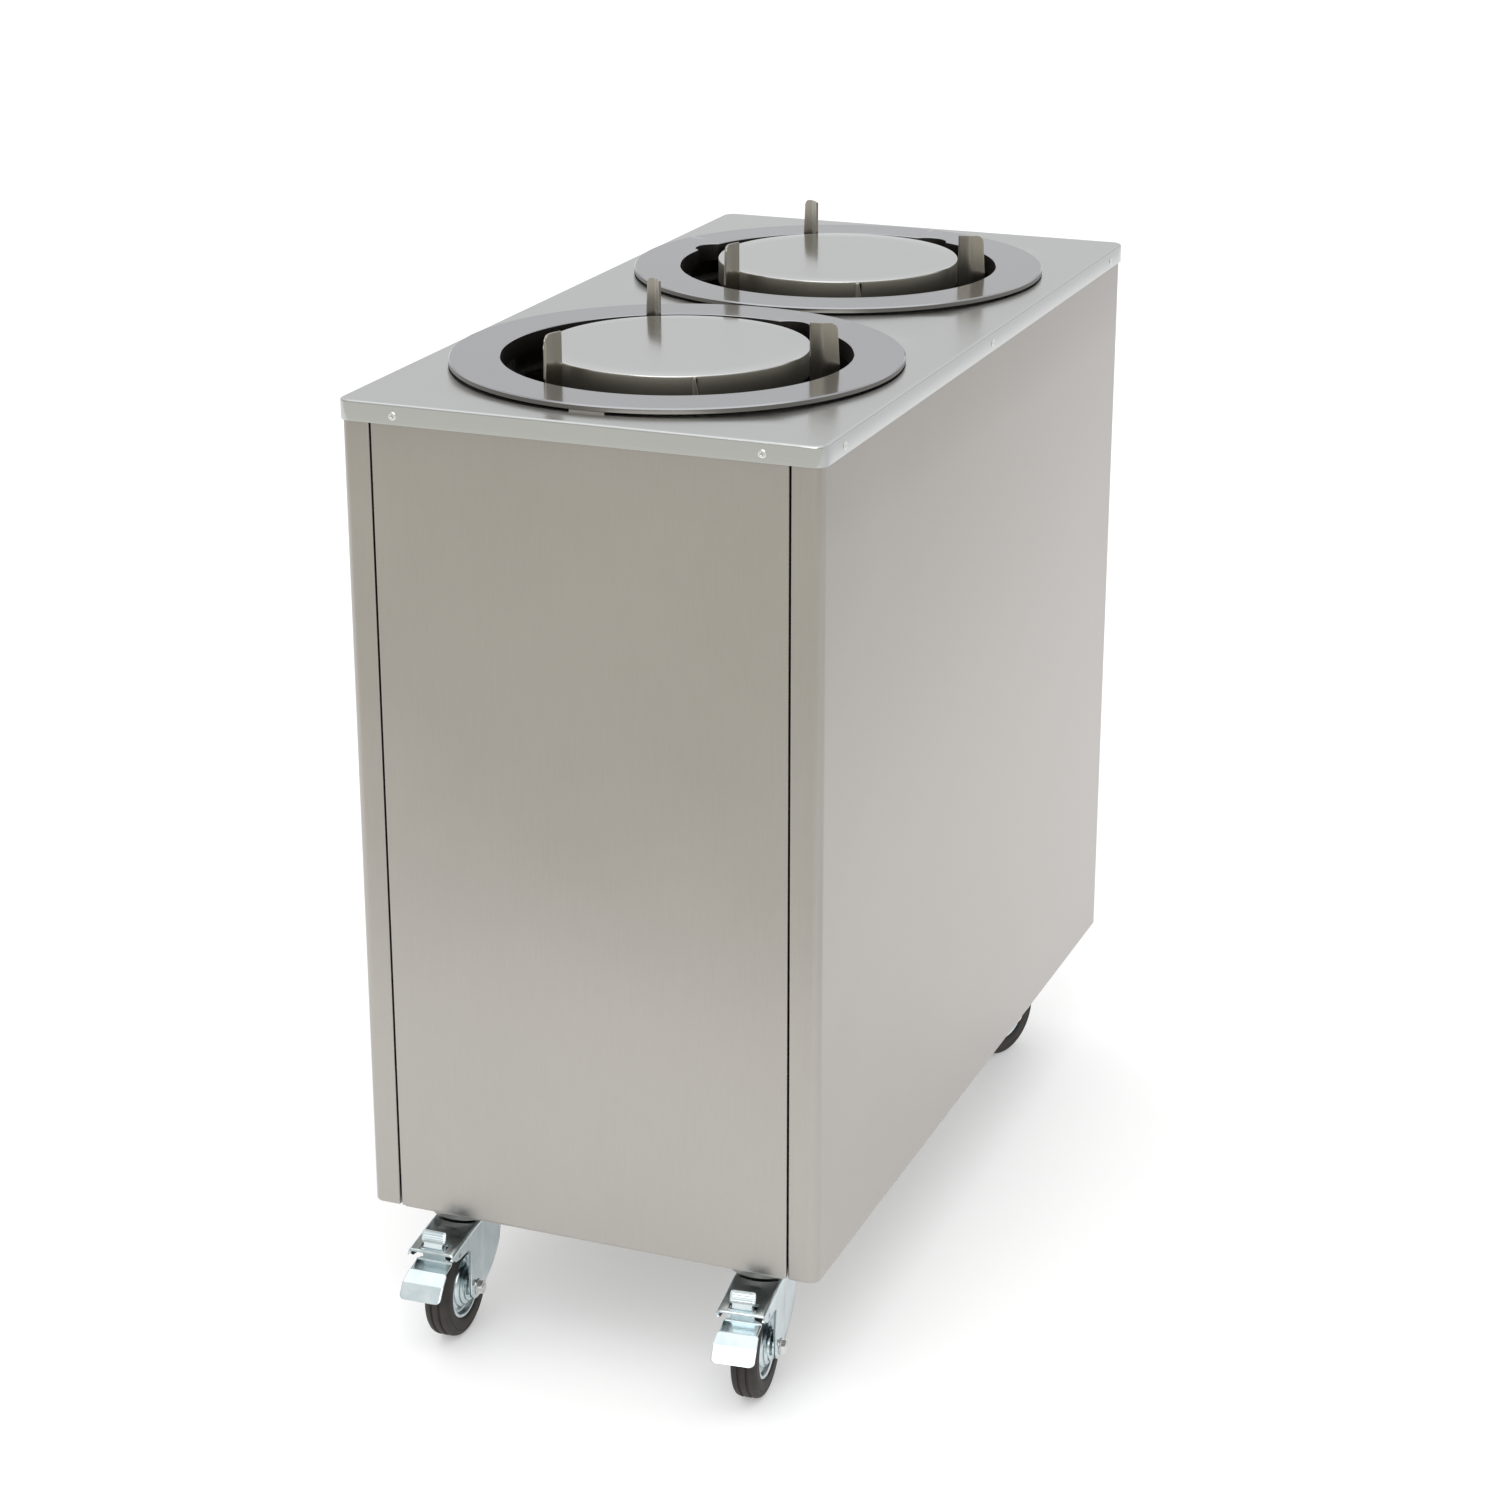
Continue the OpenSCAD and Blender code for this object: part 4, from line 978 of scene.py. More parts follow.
    def leaves(self) -> Array:
        """Returns a guide blade's grid: two leaves folded on a soft line, round top corner.

        At height z the section runs from the inner edge for a share of the leaf's width there,
        which tapers upwards and ends on the corner's arc: w - c + sqrt(c^2 - (z - z0)^2).
        """
        top, hoop = self.layout.cover_z + self.blade_up, self.hoop_z
        c, full = self.blade_corner, self.leaf_in + self.leaf_out
        wide, cut = full + self.taper, full - self.hoop_cut[0]
        over = hoop + self.hoop_cut[1]
        arc = np.linspace(0, QUARTER, 9)
        low = [self.foot_z + self.blade_foot, hoop, hoop, over, over, top - self.taper_h]
        z = np.concatenate([low, top - c + c * np.sin(arc)])
        width = np.concatenate([[wide, wide, cut, cut, wide, wide], full - c + c * np.cos(arc)])
        a, b = math.radians(self.leaf_in_a), math.radians(self.leaf_out_a)
        start = np.array([self.blade_in, 0.0])
        fold = start + self.leaf_in * np.array([math.cos(a), math.sin(a)])
        end = fold + wide * np.array([math.cos(b), math.sin(b)])
        line = densified(rounded([start, fold, end], [0, self.leaf_fold, 0]), self.blade_step)
        reach = width[:, None] * np.linspace(0, 1, 15)[None, :]
        flat = np.stack([np.interp(reach, lengths(line), line[:, axis]) for axis in (0, 1)], -1)
        return lifted(flat, z[:, None])

    def blade(self, number: int, direction: float) -> None:
        """Builds a guide blade, with the barrel on its rod."""
        body = f"blade_{number}"
        shell = Shell(f"{self.name}_folded_blade_{number}")
        shell.grid(self.layout.at_well(self.side, spun(self.leaves(), direction)))
        form = {"wall": self.blade_sheet, "edge": self.blade_softened, "offset": 0.0}
        self.hang(shell, Finish.BLADE, "blade_sheet", body, f"guide_{body}", **form)
        (inner, outer), low, high = self.barrel, self.foot_z, self.hoop_z
        tube = lathe(np.array([(inner, low), (outer, low), (outer, high), (inner, high)]), 32)
        shell = Shell(f"{self.name}_blade_barrel_{number}")
        tube = self.layout.at_well(self.side, spun(moved(tube, *self.rod), direction))
        shell.grid(tube, close_u=True, close_v=True)
        self.hang(shell, Finish.BLADE, "blade_sheet", body, edge=self.barrel_softened)

    def coils(self) -> None:
        """Winds the three return springs: a wire on a helix whose ends run flat."""
        (low, high), wire = self.spring_z, self.wire_r
        t = np.linspace(0, 1, self.coil_turns * 20)
        pitch = np.interp(t, [0, 0.03, 0.97, 1], [0, 0.008, 0.992, 1])
        out = ray(TURN * self.coil_turns * t)
        centre = lifted(self.coil_r * out, low + wire + pitch * (high - low - 2 * wire))
        radial = lifted(out, 0.0)
        binormal = np.cross(unit(np.gradient(centre, axis=0)), radial)
        p = ray(around(8))
        section = p[:, :1] * radial[:, None] + p[:, 1:] * binormal[:, None]
        tube = moved(centre[:, None] + wire * section, self.spring_at[0])
        shell = Shell(f"{self.name}_coil_springs")
        for joint in self.joints:
            placed = self.layout.at_well(self.side, spun(tube, joint + self.spring_at[1]))
            shell.grid(placed, close_v=True).cap(placed[0]).cap(placed[-1][::-1])
        self.hang(shell, Finish.SPRING, "spring_steel", node="springs", angle=60)

    def build(self) -> None:
        """Builds ring, carrier, blades and springs."""
        self.flange()
        self.carrier()
        for number, direction in enumerate(self.directions, 1):
            self.blade(number, direction)
        self.coils()


@dataclass(frozen=True)
class ForkForm:
    """A fork's edges in side view, in shares of the wheel's radius: forward of the axle, height."""

    lip: Line
    crown: Line


# the legs' outline below, the same on every fork, in the same shares
LEG = (
    (-1.20, 2.20), (-1.166, 1.708), (-1.112, 1.502), (-1.03, 1.38), (-0.932, 1.268), (-0.81, 1.166),
    (-0.678, 1.076), (-0.52, 0.985), (-0.344, 0.908), (-0.24, 0.875), (-0.14, 0.852), (-0.06, 0.826),
    (0.02, 0.812), (0.10, 0.815), (0.18, 0.838), (0.252, 0.882), (0.285, 0.925), (0.2999, 0.985),
)
BRAKED_FORK = ForkForm(
    ((0.3001, 1.90), (0.33, 1.945), (0.406, 1.984), (0.60, 1.99), (0.76, 1.995))
    + ((0.83, 2.002), (0.98, 2.03), (1.05, 2.09), (1.08, 2.12), (1.10, 2.14)),
    ((-1.2, 2.33), (-0.05, 2.33), (0.05, 2.326), (1.0, 2.23), (1.06, 2.222), (1.09, 2.205), (1.10, 2.18)),
)
PLAIN_FORK = ForkForm(
    ((0.3001, 1.95), (0.33, 2.02), (0.36, 2.07)),
    ((-1.2, 2.33), (0.08, 2.33), (0.24, 2.28), (0.32, 2.22), (0.36, 2.13)),
)

# half sections of the turned pieces, in millimetres: (radius, offset across)
TYRE_WALL = np.array(  # from the rim's radius and the tyre's half width
    [(-2.1, -3.5), (0.2, -3.5), (0.8, -1.2), (2.0, -0.3), (6.0, 0.0), (10.5, -0.1)]
    + [(11.0, -0.6), (11.8, -0.6), (12.4, -0.2), (13.5, -0.5)]
)
TYRE_SHOULDER = np.array([(-2.6, -1.3), (-1.2, -2.6), (-0.5, -4.2), (-0.1, -6.0)])  # from its corner
TYRE_GROOVE = np.array(  # from the tread's middle
    [(0.0, 5.6), (-0.5, 5.0), (-1.5, 4.7), (-1.6, 3.1), (-0.5, 2.8), (0.0, 2.2), (0.0, 0.0)]
)
RIM_DISH = np.array(  # from the axle's middle
    [(6.2, 20.0), (9.2, 20.2), (10.0, 19.6), (10.4, 17.8), (11.8, 16.8), (14.0, 16.4), (14.6, 15.8)]
    + [(14.8, 14.2), (15.4, 13.6), (17.6, 13.2), (18.2, 12.6), (18.4, 10.8), (19.0, 10.2)]
    + [(21.0, 9.8), (21.6, 9.2), (22.0, 7.2), (24.0, 6.0), (26.2, 5.4), (27.6, 6.0), (28.3, 7.6)]
)
RIM_FLANGE = np.array(  # from the rim's corner
    [(-3.5, -0.6), (-3.0, 0.2), (-2.2, 0.6), (-0.8, 0.5), (0.0, 0.0), (0.0, -1.2), (-2.2, -1.4)]
)
RACE_HUB = np.array([(6.5, 8.0), (6.5, -0.1), (22.0, -0.1)])  # from the crown
RACE_DISH = np.array([(-6.0, 0.5), (-1.0, 2.5), (0.0, 4.5), (0.0, 7.0), (-0.8, 8.0)])  # from its edge
WASHER = np.array([(4.0, 0.0), (7.8, 0.0), (8.0, 0.3), (8.0, 0.9), (7.6, 1.1), (4.0, 1.1)])


@dataclass(frozen=True)
class PedalForm:
    """The brake pedal in side view, in millimetres: forward of the axle, height."""

    line: Line = (
        (43.0, 127.5), (47.0, 116.5), (48.0, 111.0), (45.5, 96.5), (61.5, 93.0), (73.5, 86.0), (83.0, 73.0),
    )
    radii: tuple[float, ...] = (0.0, 2.2, 2.0, 2.6, 2.6, 3.0, 0.0)
    # the widths, each at a corner of the line and so far after it
    widths: tuple[tuple[int, float, float], ...] = (
        (0, 0.0, 23.7), (1, -1.2, 23.7), (1, 0.6, 18.5), (2, -1.0, 18.5), (2, 1.0, 22.0), (3, -3.0, 22.0),
        (3, -1.0, 35.7), (4, -0.8, 35.7), (4, 0.8, 38.5), (5, 0.0, 41.0), (6, 0.0, 41.0),
    )
    free_corners: Pair = (2.8, 5.0)
    ear: Line = ((35.2, 109.3), (35.2, 99.8), (45.6, 99.8), (45.6, 109.3))
    ear_radii: tuple[float, ...] = (4.6, 4.6, 0.4, 0.4)
    ears_x: Pair = (-8.0, 6.0)
    sheet: float = 2.0
    step: float = 0.35
    softened: float = 0.4
    rib_pitch: float = 2.2
    rib_height: float = 0.8
    rib_ends: Pair = (1.2, 1.8)


@dataclass
class Caster(Assembly):
    """One swivel caster: fork, wheel and axle, and on the front ones the brake pedal.

    Drawn with the swivel axis at the origin and the axle `trail` towards -Y. A side view point
    (forward of the axle, height) lands at y = -trail - forward.
    """

    layout: Layout
    finishes: Finishes
    across: int
    along: int
    turn: float
    axis_x: float = 0.1535
    axis_y: float = 0.395
    wheel_r: float = 0.050
    tyre_w: float = 0.025
    rim_r: float = 0.0322
    rim_w: float = 0.021
    trail: float = 0.037
    fork_w: float = 0.047
    fork_t: float = 0.003
    fork_bend: float = 0.0042
    fork_least: float = 0.0004
    fork_softened: float = 0.0006
    softened: float = 0.0003
    crease: tuple[float, float, float, float] = (0.011, 0.006, 0.012, 0.045)
    dimple_at: Pair = (0.012, 0.0035)
    dimple_size: Triple = (0.0032, 0.0035, 0.0012)
    swage_x: Pair = (0.0145, 0.0182)
    swage_run: Pair = (0.020, 0.056)
    swage_depth: float = 0.0005
    crown_z: float = 0.1165
    race_r: float = 0.0357
    window: Triple = (0.038, 0.0526, 0.0132)
    nut_flat: float = 0.0061
    nut_hole: float = 0.004
    nut_h: Pair = (0.0036, 0.0041)
    stud_r: Pair = (0.0039, 0.0032)
    stud_chamfer: float = 0.0006
    stud_out: Pair = (0.0047, 0.0056)
    sleeve: Pair = (0.0042, 0.0060)
    pedal_form: PedalForm = PedalForm()

    @property
    def name(self) -> str:
        """Names the caster by its corner of the cart."""
        return f"{'rear' if self.along > 0 else 'front'}_{'right' if self.across > 0 else 'left'}"

    @property
    def braked(self) -> bool:
        """Tells whether the caster has a brake: the front ones have."""
        return self.along < 0

    def placed(self, points: Array) -> Array:
        """Turns points about the swivel axis and moves them to the caster's corner."""
        turned = spun(points, self.turn)
        return self.layout.on_cart(moved(turned, self.across * self.axis_x, self.along * self.axis_y))

    def side_view(self, x: Array | float, forward: Array, z: Array) -> Array:
        """Makes points from their offset across, their distance forward of the axle and height."""
        x, forward, z = np.broadcast_arrays(x, forward, z)
        return np.stack([x, -self.trail - forward, z], -1)

    def on_axle(self, rows: Array) -> Array:
        """Lays a lathed grid on the placed caster's axle: its axis turns from +Z to +X."""
        x, y, z = rows[..., 2], rows[..., 0], rows[..., 1]
        return self.placed(np.stack([x, y - self.trail, z + self.wheel_r], -1))

    def fork_edges(self) -> tuple[Array, Array, Array]:
        """Returns the fork's stations forward, with the legs' foot and the crown's height at each."""
        r, form = self.wheel_r, BRAKED_FORK if self.braked else PLAIN_FORK
        foot, crown = np.array(LEG + form.lip), np.array(form.crown)
        even = np.linspace(foot[0, 0], foot[-1, 0], 40)
        sides = [edge / r for edge in self.window[:2]] if self.braked else []
        station = np.unique(np.concatenate([foot[:, 0], even, np.array(sides)]))
        top = np.interp(station, crown[:, 0], crown[:, 1]) * r
        low = np.interp(station, foot[:, 0], foot[:, 1]) * r
        return station * r, np.minimum(low, top - self.fork_bend - self.fork_least), top

    def fork_section(self, low: Array, top: Array) -> tuple[Array, Array]:
        """Returns the sheet's points at each station: up one leg, over the crown and down.

        Args:
            low: the legs' foot at each station.
            top: the crown's height at each station.

        Returns:
            The offsets across and the heights, each (stations, points).
        """
        half, bend = self.fork_w / 2, self.fork_bend
        turn, leg = np.linspace(0, QUARTER, 6), np.linspace(0, 1, 9)[:-1]
        deck = np.array([-self.window[2], -0.0105, -0.008, -0.005, -0.0025, 0.0])
        deck = np.concatenate([deck, -deck[-2::-1]])
        left = np.concatenate([np.full(len(leg), -half), -half + bend * (1 - np.cos(turn))])
        x = np.concatenate([left, deck, -left[::-1]])
        leg_z = low[:, None] + (top - bend - low)[:, None] * leg
        bend_z = top[:, None] - bend * (1 - np.sin(turn))
        deck_z = np.repeat(top[:, None], len(deck), 1)
        z = np.hstack([leg_z, bend_z, deck_z, bend_z[:, ::-1], leg_z[:, ::-1]])
        return np.repeat(x[None], len(top), 0), z

    def pressed(self, x: Array, forward: Array, z: Array, top: Array) -> tuple[Array, Array]:
        """Presses a crease into the legs, and a dimple and two swages into a braked fork's crown.

        Args:
            x: offsets across.
            forward: distances forward of the axle.
            z: heights.
            top: the crown's height at each station, as a column.

        Returns:
            The new offsets across and heights.
        """
        behind, run, fade, share = self.crease
        side = np.clip(np.abs(x) / (self.fork_w / 2) - 0.9, 0, 0.1) / 0.1
        crease = eased(-forward, behind, run) * eased(top - self.fork_bend - z, 0, fade)
        x = x * (1 - share * crease * side)
        if self.braked:
            (at_f, at_x), (long, wide, high) = self.dimple_at, self.dimple_size
            dimple = np.exp(-(((forward - at_f) / long) ** 2) - ((np.abs(x) - at_x) / wide) ** 2)
            z = z + high * dimple * (z > top - 2 * HAIR)
            (inner, outer), (start, stop) = self.swage_x, self.swage_run
            swage = eased(forward, start, 0.02) * eased(-forward, -stop, 0.004)
            beside = (np.abs(x) > inner) & (np.abs(x) < outer) & (z > top - 3 * HAIR)
            z = z - self.swage_depth * swage * beside
        return x, z

    def fork(self) -> None:
        """Presses the fork and leaves out the cells inside the brake's window."""
        station, low, top = self.fork_edges()
        x, z = self.fork_section(low, top)
        near, far, half = self.window
        middle_f, middle_x = (station[1:] + station[:-1]) / 2, (x[0, 1:] + x[0, :-1]) / 2
        in_window = ((middle_f > near) & (middle_f < far))[:, None] & (np.abs(middle_x) < half)
        keep = ~in_window if self.braked else np.ones_like(in_window)
        x, z = self.pressed(x, station[:, None], z, top[:, None])
        shell = Shell(f"{self.name}_pressed_fork")
        shell.grid(self.placed(self.side_view(x, station[:, None], z)), keep=keep)
        inside = self.placed(np.array([[0.0, -self.trail, self.wheel_r]]))[0]
        form = {"wall": self.fork_t, "away": inside, "edge": self.fork_softened}
        self.hang(shell, Finish.ZINC, "zinc_plate", "swivel", "fork", **form)

    def lower_race(self) -> None:
        """Turns the lower race on the crown, a shallow dish with a rolled rim, in dark steel: painted shade
        for the cabinet's shadow.
        """
        hub = RACE_HUB * MM + [0, self.crown_z]
        profile = np.vstack([hub[1:], RACE_DISH * MM + [self.race_r, self.crown_z], hub[:1]])
        shell = Shell(f"{self.name}_lower_race")
        shell.grid(self.placed(lathe(profile, 72)), close_u=True, close_v=True)
        # dark steel on a zinc piece: painted shade for the shadow under the cabinet
        self.hang(shell, Finish.FRAME_AND_RACE_SHADE, "zinc_plate", "swivel", edge=self.softened)

    def tyre(self) -> None:
        """Turns the tyre: crowned tread with two grooves, round shoulders, stepped side walls."""
        half, r = self.tyre_w / 2, self.wheel_r
        wall = TYRE_WALL * MM + [self.rim_r, half]
        side = np.vstack([wall, TYRE_SHOULDER * MM + [r, half], TYRE_GROOVE * MM + [r, 0]])
        shell = Shell(f"{self.name}_moulded_tyre")
        shell.grid(self.on_axle(lathe(mirrored(side), 120)), close_u=True, close_v=True)
        self.hang(shell, Finish.RUBBER, "rubber", "wheel", "tyre", angle=40)

    def rim(self) -> None:
        """Turns the pressed rim: rolled flange, deep ring, dished cone and hub tube on each side."""
        side = np.vstack([RIM_DISH * MM, RIM_FLANGE * MM + [self.rim_r, self.rim_w / 2]])
        shell = Shell(f"{self.name}_pressed_rim")
        shell.grid(self.on_axle(lathe(mirrored(side), 96)), close_u=True, close_v=True)
        self.hang(shell, Finish.ZINC, "zinc_plate", "wheel", "rim", angle=35)

    def hexagon(self, base: float, end: int) -> Array:
        """Returns a bolt's head or nut on its washer.

        A hexagon's radius at angle a is flat / cos(a'), with a' the angle from its nearest flat,
        and the chamfer caps it at its face.

        Args:
            base: its foot's distance from the caster's middle.
            end: the side of the caster, -1 or 1.

        Returns:
            The grid, (angle, level).
        """
        flat, hole, (edge, face) = self.nut_flat, self.nut_hole, self.nut_h
        angle = around(72)
        full = flat / np.cos((angle + math.pi / 6) % (math.pi / 3) - math.pi / 6)
        levels = ((0.0, hole), (0.0, math.inf), (edge, math.inf), (face, flat * 1.06), (face, hole))
        rings = [
            lifted(ray(angle) * np.minimum(full, width)[:, None], end * (base + lift))
            for lift, width in levels
        ]
        return np.stack(rings, 1)

    def axle(self) -> None:
        """Makes the axle bolt: chamfered hexagons, washers and the sleeve between the legs."""
        half = self.fork_w / 2
        base = half + HAIR
        seat = base + WASHER[-1, 1] * MM
        shell = Shell(f"{self.name}_axle_bolt")
        for end in (-1, 1):
            washer = lathe((WASHER * MM + [0, base]) * [1, end], 48)
            shell.grid(self.on_axle(washer), close_u=True, close_v=True)
            shell.grid(self.on_axle(self.hexagon(seat, end)), close_u=True, close_v=True)
            (wide, narrow), tip = self.stud_r, base + self.stud_out[end > 0]
            stud = [(wide, 0.0), (wide, end * (tip - self.stud_chamfer)), (narrow, end * tip)]
            rows = self.on_axle(lathe(np.array(stud), 32))
            shell.grid(rows, close_u=True).cap(rows[:, -1])
        (inner, outer), reach = self.sleeve, half - self.fork_t - HAIR
        sleeve = np.array([(inner, -reach), (outer, -reach), (outer, reach), (inner, reach)])
        shell.grid(self.on_axle(lathe(sleeve, 40)), close_u=True, close_v=True)
        self.hang(shell, Finish.FASTENER, "fastener_steel", "swivel", "axle", angle=35)

    def pedal_widths(self, path: Array, knots: Array) -> Array:
        """Returns the pedal's width at each point of its path.

        Both free ends have corners of radius c: the width there is w - 2 * (c - sqrt(c^2 - (c - s)^2)).

        Args:
            path: distances along the rounded line.
            knots: distances of the line's corners.

        Returns:
            The widths.
        """
        form = self.pedal_form
        at = [knots[corner] + after * MM for corner, after, _ in form.widths]
        width = np.interp(path, at, np.array([width for _, _, width in form.widths]) * MM)
        for start, corner in zip((0.0, path[-1]), np.array(form.free_corners) * MM):
            s = np.clip(np.abs(path - start), 0, corner)
            width -= 2 * (corner - np.sqrt(np.maximum(corner**2 - (corner - s) ** 2, 0)))
        return width

    def pedal(self) -> None:
        """Stamps the brake pedal: its middle line in side view, with a width at each point.

        The release tab has five ribs, raised by rib_height * cos^2 along the line.
        """
        form = self.pedal_form
        line = np.array(form.line) * MM
        path = densified(rounded(line, np.array(form.radii) * MM), form.step * MM)
        along, corners = lengths(path), lengths(line)
        knots = corners * along[-1] / corners[-1]
        share = np.linspace(-0.5, 0.5, 25)
        x = self.pedal_widths(along, knots)[:, None] * share
        start, stop = form.rib_ends[0] * MM, knots[1] - form.rib_ends[1] * MM
        waves = np.cos(math.pi * (along - start) / (form.rib_pitch * MM)) ** 2
        ribs = np.where((along > start) & (along < stop), waves, 0.0)
        lift = form.rib_height * MM * ribs[:, None] * np.clip((0.5 - np.abs(share)) * 16, 0, 1)
        normal = outward(path)
        raised = path[:, None] - normal[:, None] * lift[..., None]
        shell = Shell(f"{self.name}_stamped_pedal")
        shell.grid(self.placed(self.side_view(x, raised[..., 0], raised[..., 1])))
        sheet = {"wall": form.sheet * MM, "edge": form.softened * MM, "offset": 0.0}
        self.hang(shell, Finish.ZINC, "zinc_plate", "pedal", "brake_pedal", **sheet)
        self.ears()

    def ears(self) -> None:
        """Makes the pedal's two ears, which its pin goes through."""
        form = self.pedal_form
        outline = rounded(form.ear, form.ear_radii, closed=True, steps=8) * MM
        shell = Shell(f"{self.name}_pedal_ears")
        for inner in form.ears_x:
            faces = [
                self.placed(self.side_view(x * MM, outline[:, 0], outline[:, 1]))
                for x in (inner, inner + form.sheet)
            ]
            shell.prism(*faces)
        self.hang(shell, Finish.ZINC, "zinc_plate", "pedal", edge=self.softened)

    def build(self) -> None:
        """Builds the caster's pieces."""
        self.fork()
        self.lower_race()
        self.tyre()
        self.rim()
        self.axle()
        if self.braked:
            self.pedal()


# --- studio ------------------------------------------------------------------------------------


def grey(light: float) -> RGB:
    """Returns a neutral light."""
    return (light, light, light)


# the sky's light by height, from the nadir (0) to the zenith (1)
CEILING = ((0.80, grey(0.9)), (0.90, grey(0.9)), (0.93, grey(1.45)))
WARM_WALL = (
    ((0.0, (0.87, 0.865, 0.80)), (0.50, (0.87, 0.865, 0.80)), (0.62, (0.52, 0.51, 0.49))) + CEILING
)
GREY_WALL = (
    ((0.0, (0.92, 0.91, 0.91)), (0.53, (0.92, 0.92, 0.93)), (0.60, grey(0.70)), (0.71, grey(1.08)))
    + CEILING
)


@dataclass
class Studio:
    """White studio: floor, sky light, soft boxes and the camera at the photograph's angle."""

    centre_y: float
    azimuth: float = 21.62
    elevation: float = 20.024
    roll: float = -0.036
    camera_at: Triple = (1.14759, -2.94541, 1.61883)
    sensor: float = 36.0
    lens_share: float = 3321.8 / 1500.0
    sight: float = 60.0
    turnover: Pair = (-0.25, 0.35)
    floor_span: Triple = (9.0, -1.38, 16.0)
    floor_paint: tuple[RGB, RGB] = ((0.735, 0.735, 0.74), (0.75, 0.75, 0.75))
    # the floor's emission near the cart and well to its right: painted light that lifts the cast shadows
    painted_floor_glow: float = 0.31
    painted_floor_glow_right: float = 0.07
    floor_fade: Pair = (0.8, 1.3)

    def camera(self) -> None:
        """Places the camera: its back axis follows from azimuth and elevation."""
        data = bpy.data.cameras.new("camera")
        data.sensor_width = self.sensor
        data.lens = self.sensor * self.lens_share
        data.clip_end = self.sight
        obj = bpy.data.objects.new("camera", data)
        bpy.context.scene.collection.objects.link(obj)
        azimuth, elevation = math.radians(self.azimuth), math.radians(self.elevation)
        right = Vector((math.cos(azimuth), math.sin(azimuth), 0.0))
        level = Vector((math.sin(azimuth), -math.cos(azimuth), 0.0)) * math.cos(elevation)
        back = level + Vector((0.0, 0.0, math.sin(elevation)))
        spin = Matrix.Rotation(math.radians(self.roll), 3, back)
        basis = Matrix((spin @ right, spin @ back.cross(right), back)).transposed().to_4x4()
        place = Vector(self.camera_at) + Vector((0.0, self.centre_y, 0.0))
        obj.matrix_world = Matrix.Translation(place) @ basis
        bpy.context.scene.camera = obj

    def world(self) -> None:
        """Lights the room by direction: bright ceiling, grey walls, warmer behind the camera."""
        world = bpy.data.worlds.new("studio")
        bpy.context.scene.world = world
        world.use_nodes = True
        nodes = Nodes(world.node_tree)
        toward = nodes.add("ShaderNodeTexCoord").outputs["Generated"]
        up = nodes.add("ShaderNodeMapRange", i0=nodes.part(toward, "Z"), i1=-1.0).outputs[0]
        low, high = self.turnover
        depth = nodes.add("ShaderNodeMapRange", i0=nodes.part(toward, "Y"), i1=low, i2=high).outputs[0]
        near, far = nodes.bands(up, WARM_WALL), nodes.bands(up, GREY_WALL)
        mixed = nodes.add("ShaderNodeMix", {"data_type": "RGBA"}, i0=depth, i6=near, i7=far).outputs[2]
        light = nodes.add("ShaderNodeBackground", i0=mixed).outputs[0]
        nodes.add("ShaderNodeOutputWorld", i0=light)

    def floor(self) -> None:
        """Lays the pale floor, its emission painted light that lifts the cart's cast shadows, less so well
        to the cart's right.
        """
        side, near, far = self.floor_span
        corners = [(-side, near, 0.0), (side, near, 0.0), (side, far, 0.0), (-side, far, 0.0)]
        mesh = bpy.data.meshes.new("studio_floor")
        mesh.from_pydata(corners, [], [(0, 1, 2, 3)])
        obj = bpy.data.objects.new("studio_floor", mesh)
        bpy.context.scene.collection.objects.link(obj)
        graph = Graph("floor_paint")
        coords = graph.coords()
        paint = graph.ramp(graph.noise(coords, 2.0, 2.0), *self.floor_paint)
        (start, end), glow, dim = self.floor_fade, self.painted_floor_glow, self.painted_floor_glow_right
        across = graph.part(coords, "X")
        fade = graph.add("ShaderNodeMapRange", i0=across, i1=start, i2=end, i3=glow, i4=dim).outputs[0]
        graph.set(Base_Color=paint, Roughness=0.6, Specular_IOR_Level=0.2)
        # the floor's emission is painted light: a glow that lifts the cast shadows round the cart
        graph.set(Emission_Color=(*grey(1.0), 1.0), Emission_Strength=fade)
        mesh.materials.append(graph.material)

    def lamp(self, name: str, at: Sequence[float], aim: Sequence[float], size: float, power: float) -> None:
        """Hangs one soft box.

        Args:
            name: the light's name.
            at: its place.
            aim: the point that it faces.
            size: its side.
            power: its power in watts.
        """
        data = bpy.data.lights.new(name, "AREA")
        data.shape = "SQUARE"
        data.size = size
        data.energy = power
        obj = bpy.data.objects.new(name, data)
        bpy.context.scene.collection.objects.link(obj)
        turned = (Vector(aim) - Vector(at)).to_track_quat("-Z", "Y").to_matrix().to_4x4()
        obj.matrix_world = Matrix.Translation(Vector(at)) @ turned

    def build(self) -> None:
        """Sets up camera, world, floor and lamps, and shows light as it is, without a Filmic curve."""
        self.camera()
        self.world()
        self.floor()
        self.lamp("front_box", (0.5, -3.0, 3.0), (0.1, -0.8, 0.0), 2.8, 52.0)
        self.lamp("rear_box", (-1.6, 1.0, 3.6), (0.0, 0.2, 0.3), 2.6, 6.0)
        bpy.context.scene.view_settings.view_transform = "Standard"


# --- what is carried over, and the whole -------------------------------------------------------


@dataclass
class CarriedNodes:
    """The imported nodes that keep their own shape, with the finish of those that aren't of the frame's."""

    finishes: Finishes
    rules: tuple[tuple[str, Finish], ...] = (
        ("caster_bolts", Finish.FASTENER),
        ("pedal_pin", Finish.FASTENER),
        ("ring_tab", Finish.CABINET),
        ("glides", Finish.GLIDE),
        ("shoe", Finish.SHOE),
    )

    def dress(self, nodes: dict[str, bpy.types.Object]) -> None:
        """Dresses every node by the first rule whose words its name holds, else as the frame."""
        for name, obj in nodes.items():
            finish = next((f for words, f in self.rules if words in name), Finish.FRAME_AND_RACE_SHADE)
            self.finishes.dress(obj, finish)
            LOG.info("dressed %s in %s", name, finish.name)


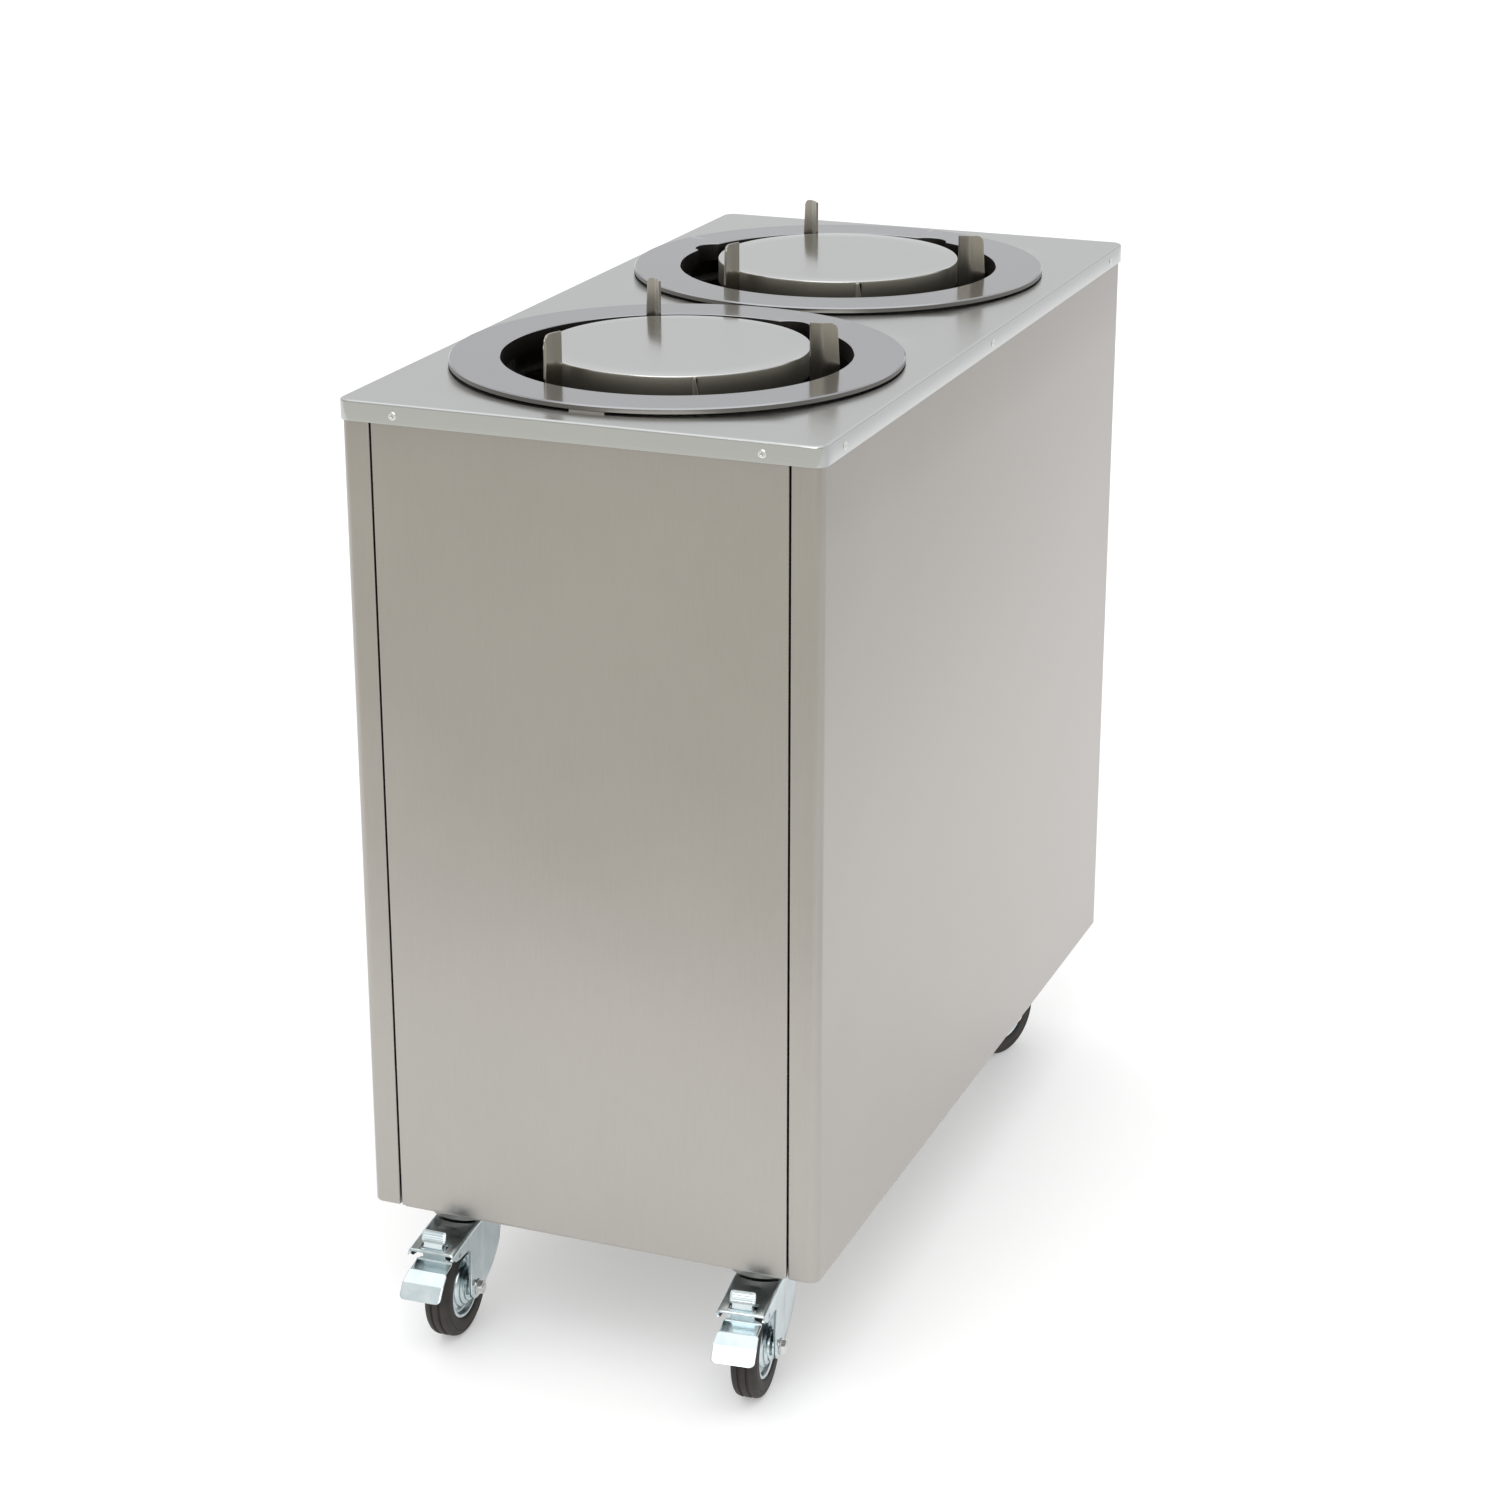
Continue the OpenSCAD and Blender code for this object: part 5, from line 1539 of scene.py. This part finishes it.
def main() -> None:
    """Builds the studio and the cart in order and reports each piece."""
    logging.basicConfig(level=logging.INFO, format="%(message)s")
    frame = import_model()
    cover_low, cover_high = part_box("top_cover")
    layout = Layout(0.5 * (cover_low[1] + cover_high[1]))
    Studio(layout.middle_y).build()
    finishes = Finishes()
    CarriedNodes(finishes).dress(frame["nodes"])
    TopCover(layout, finishes).build()
    Cabinet(layout, finishes).build()
    Well(layout, finishes, -1, (69.0,)).build()
    Well(layout, finishes, 1, (72.0, 168.0)).build()
    for across, along, turn in ((-1, -1, 2.5), (1, -1, 6.0), (-1, 1, -9.0), (1, 1, -20.0)):
        Caster(layout, finishes, across, along, turn).build()


if __name__ == "__main__":
    main()
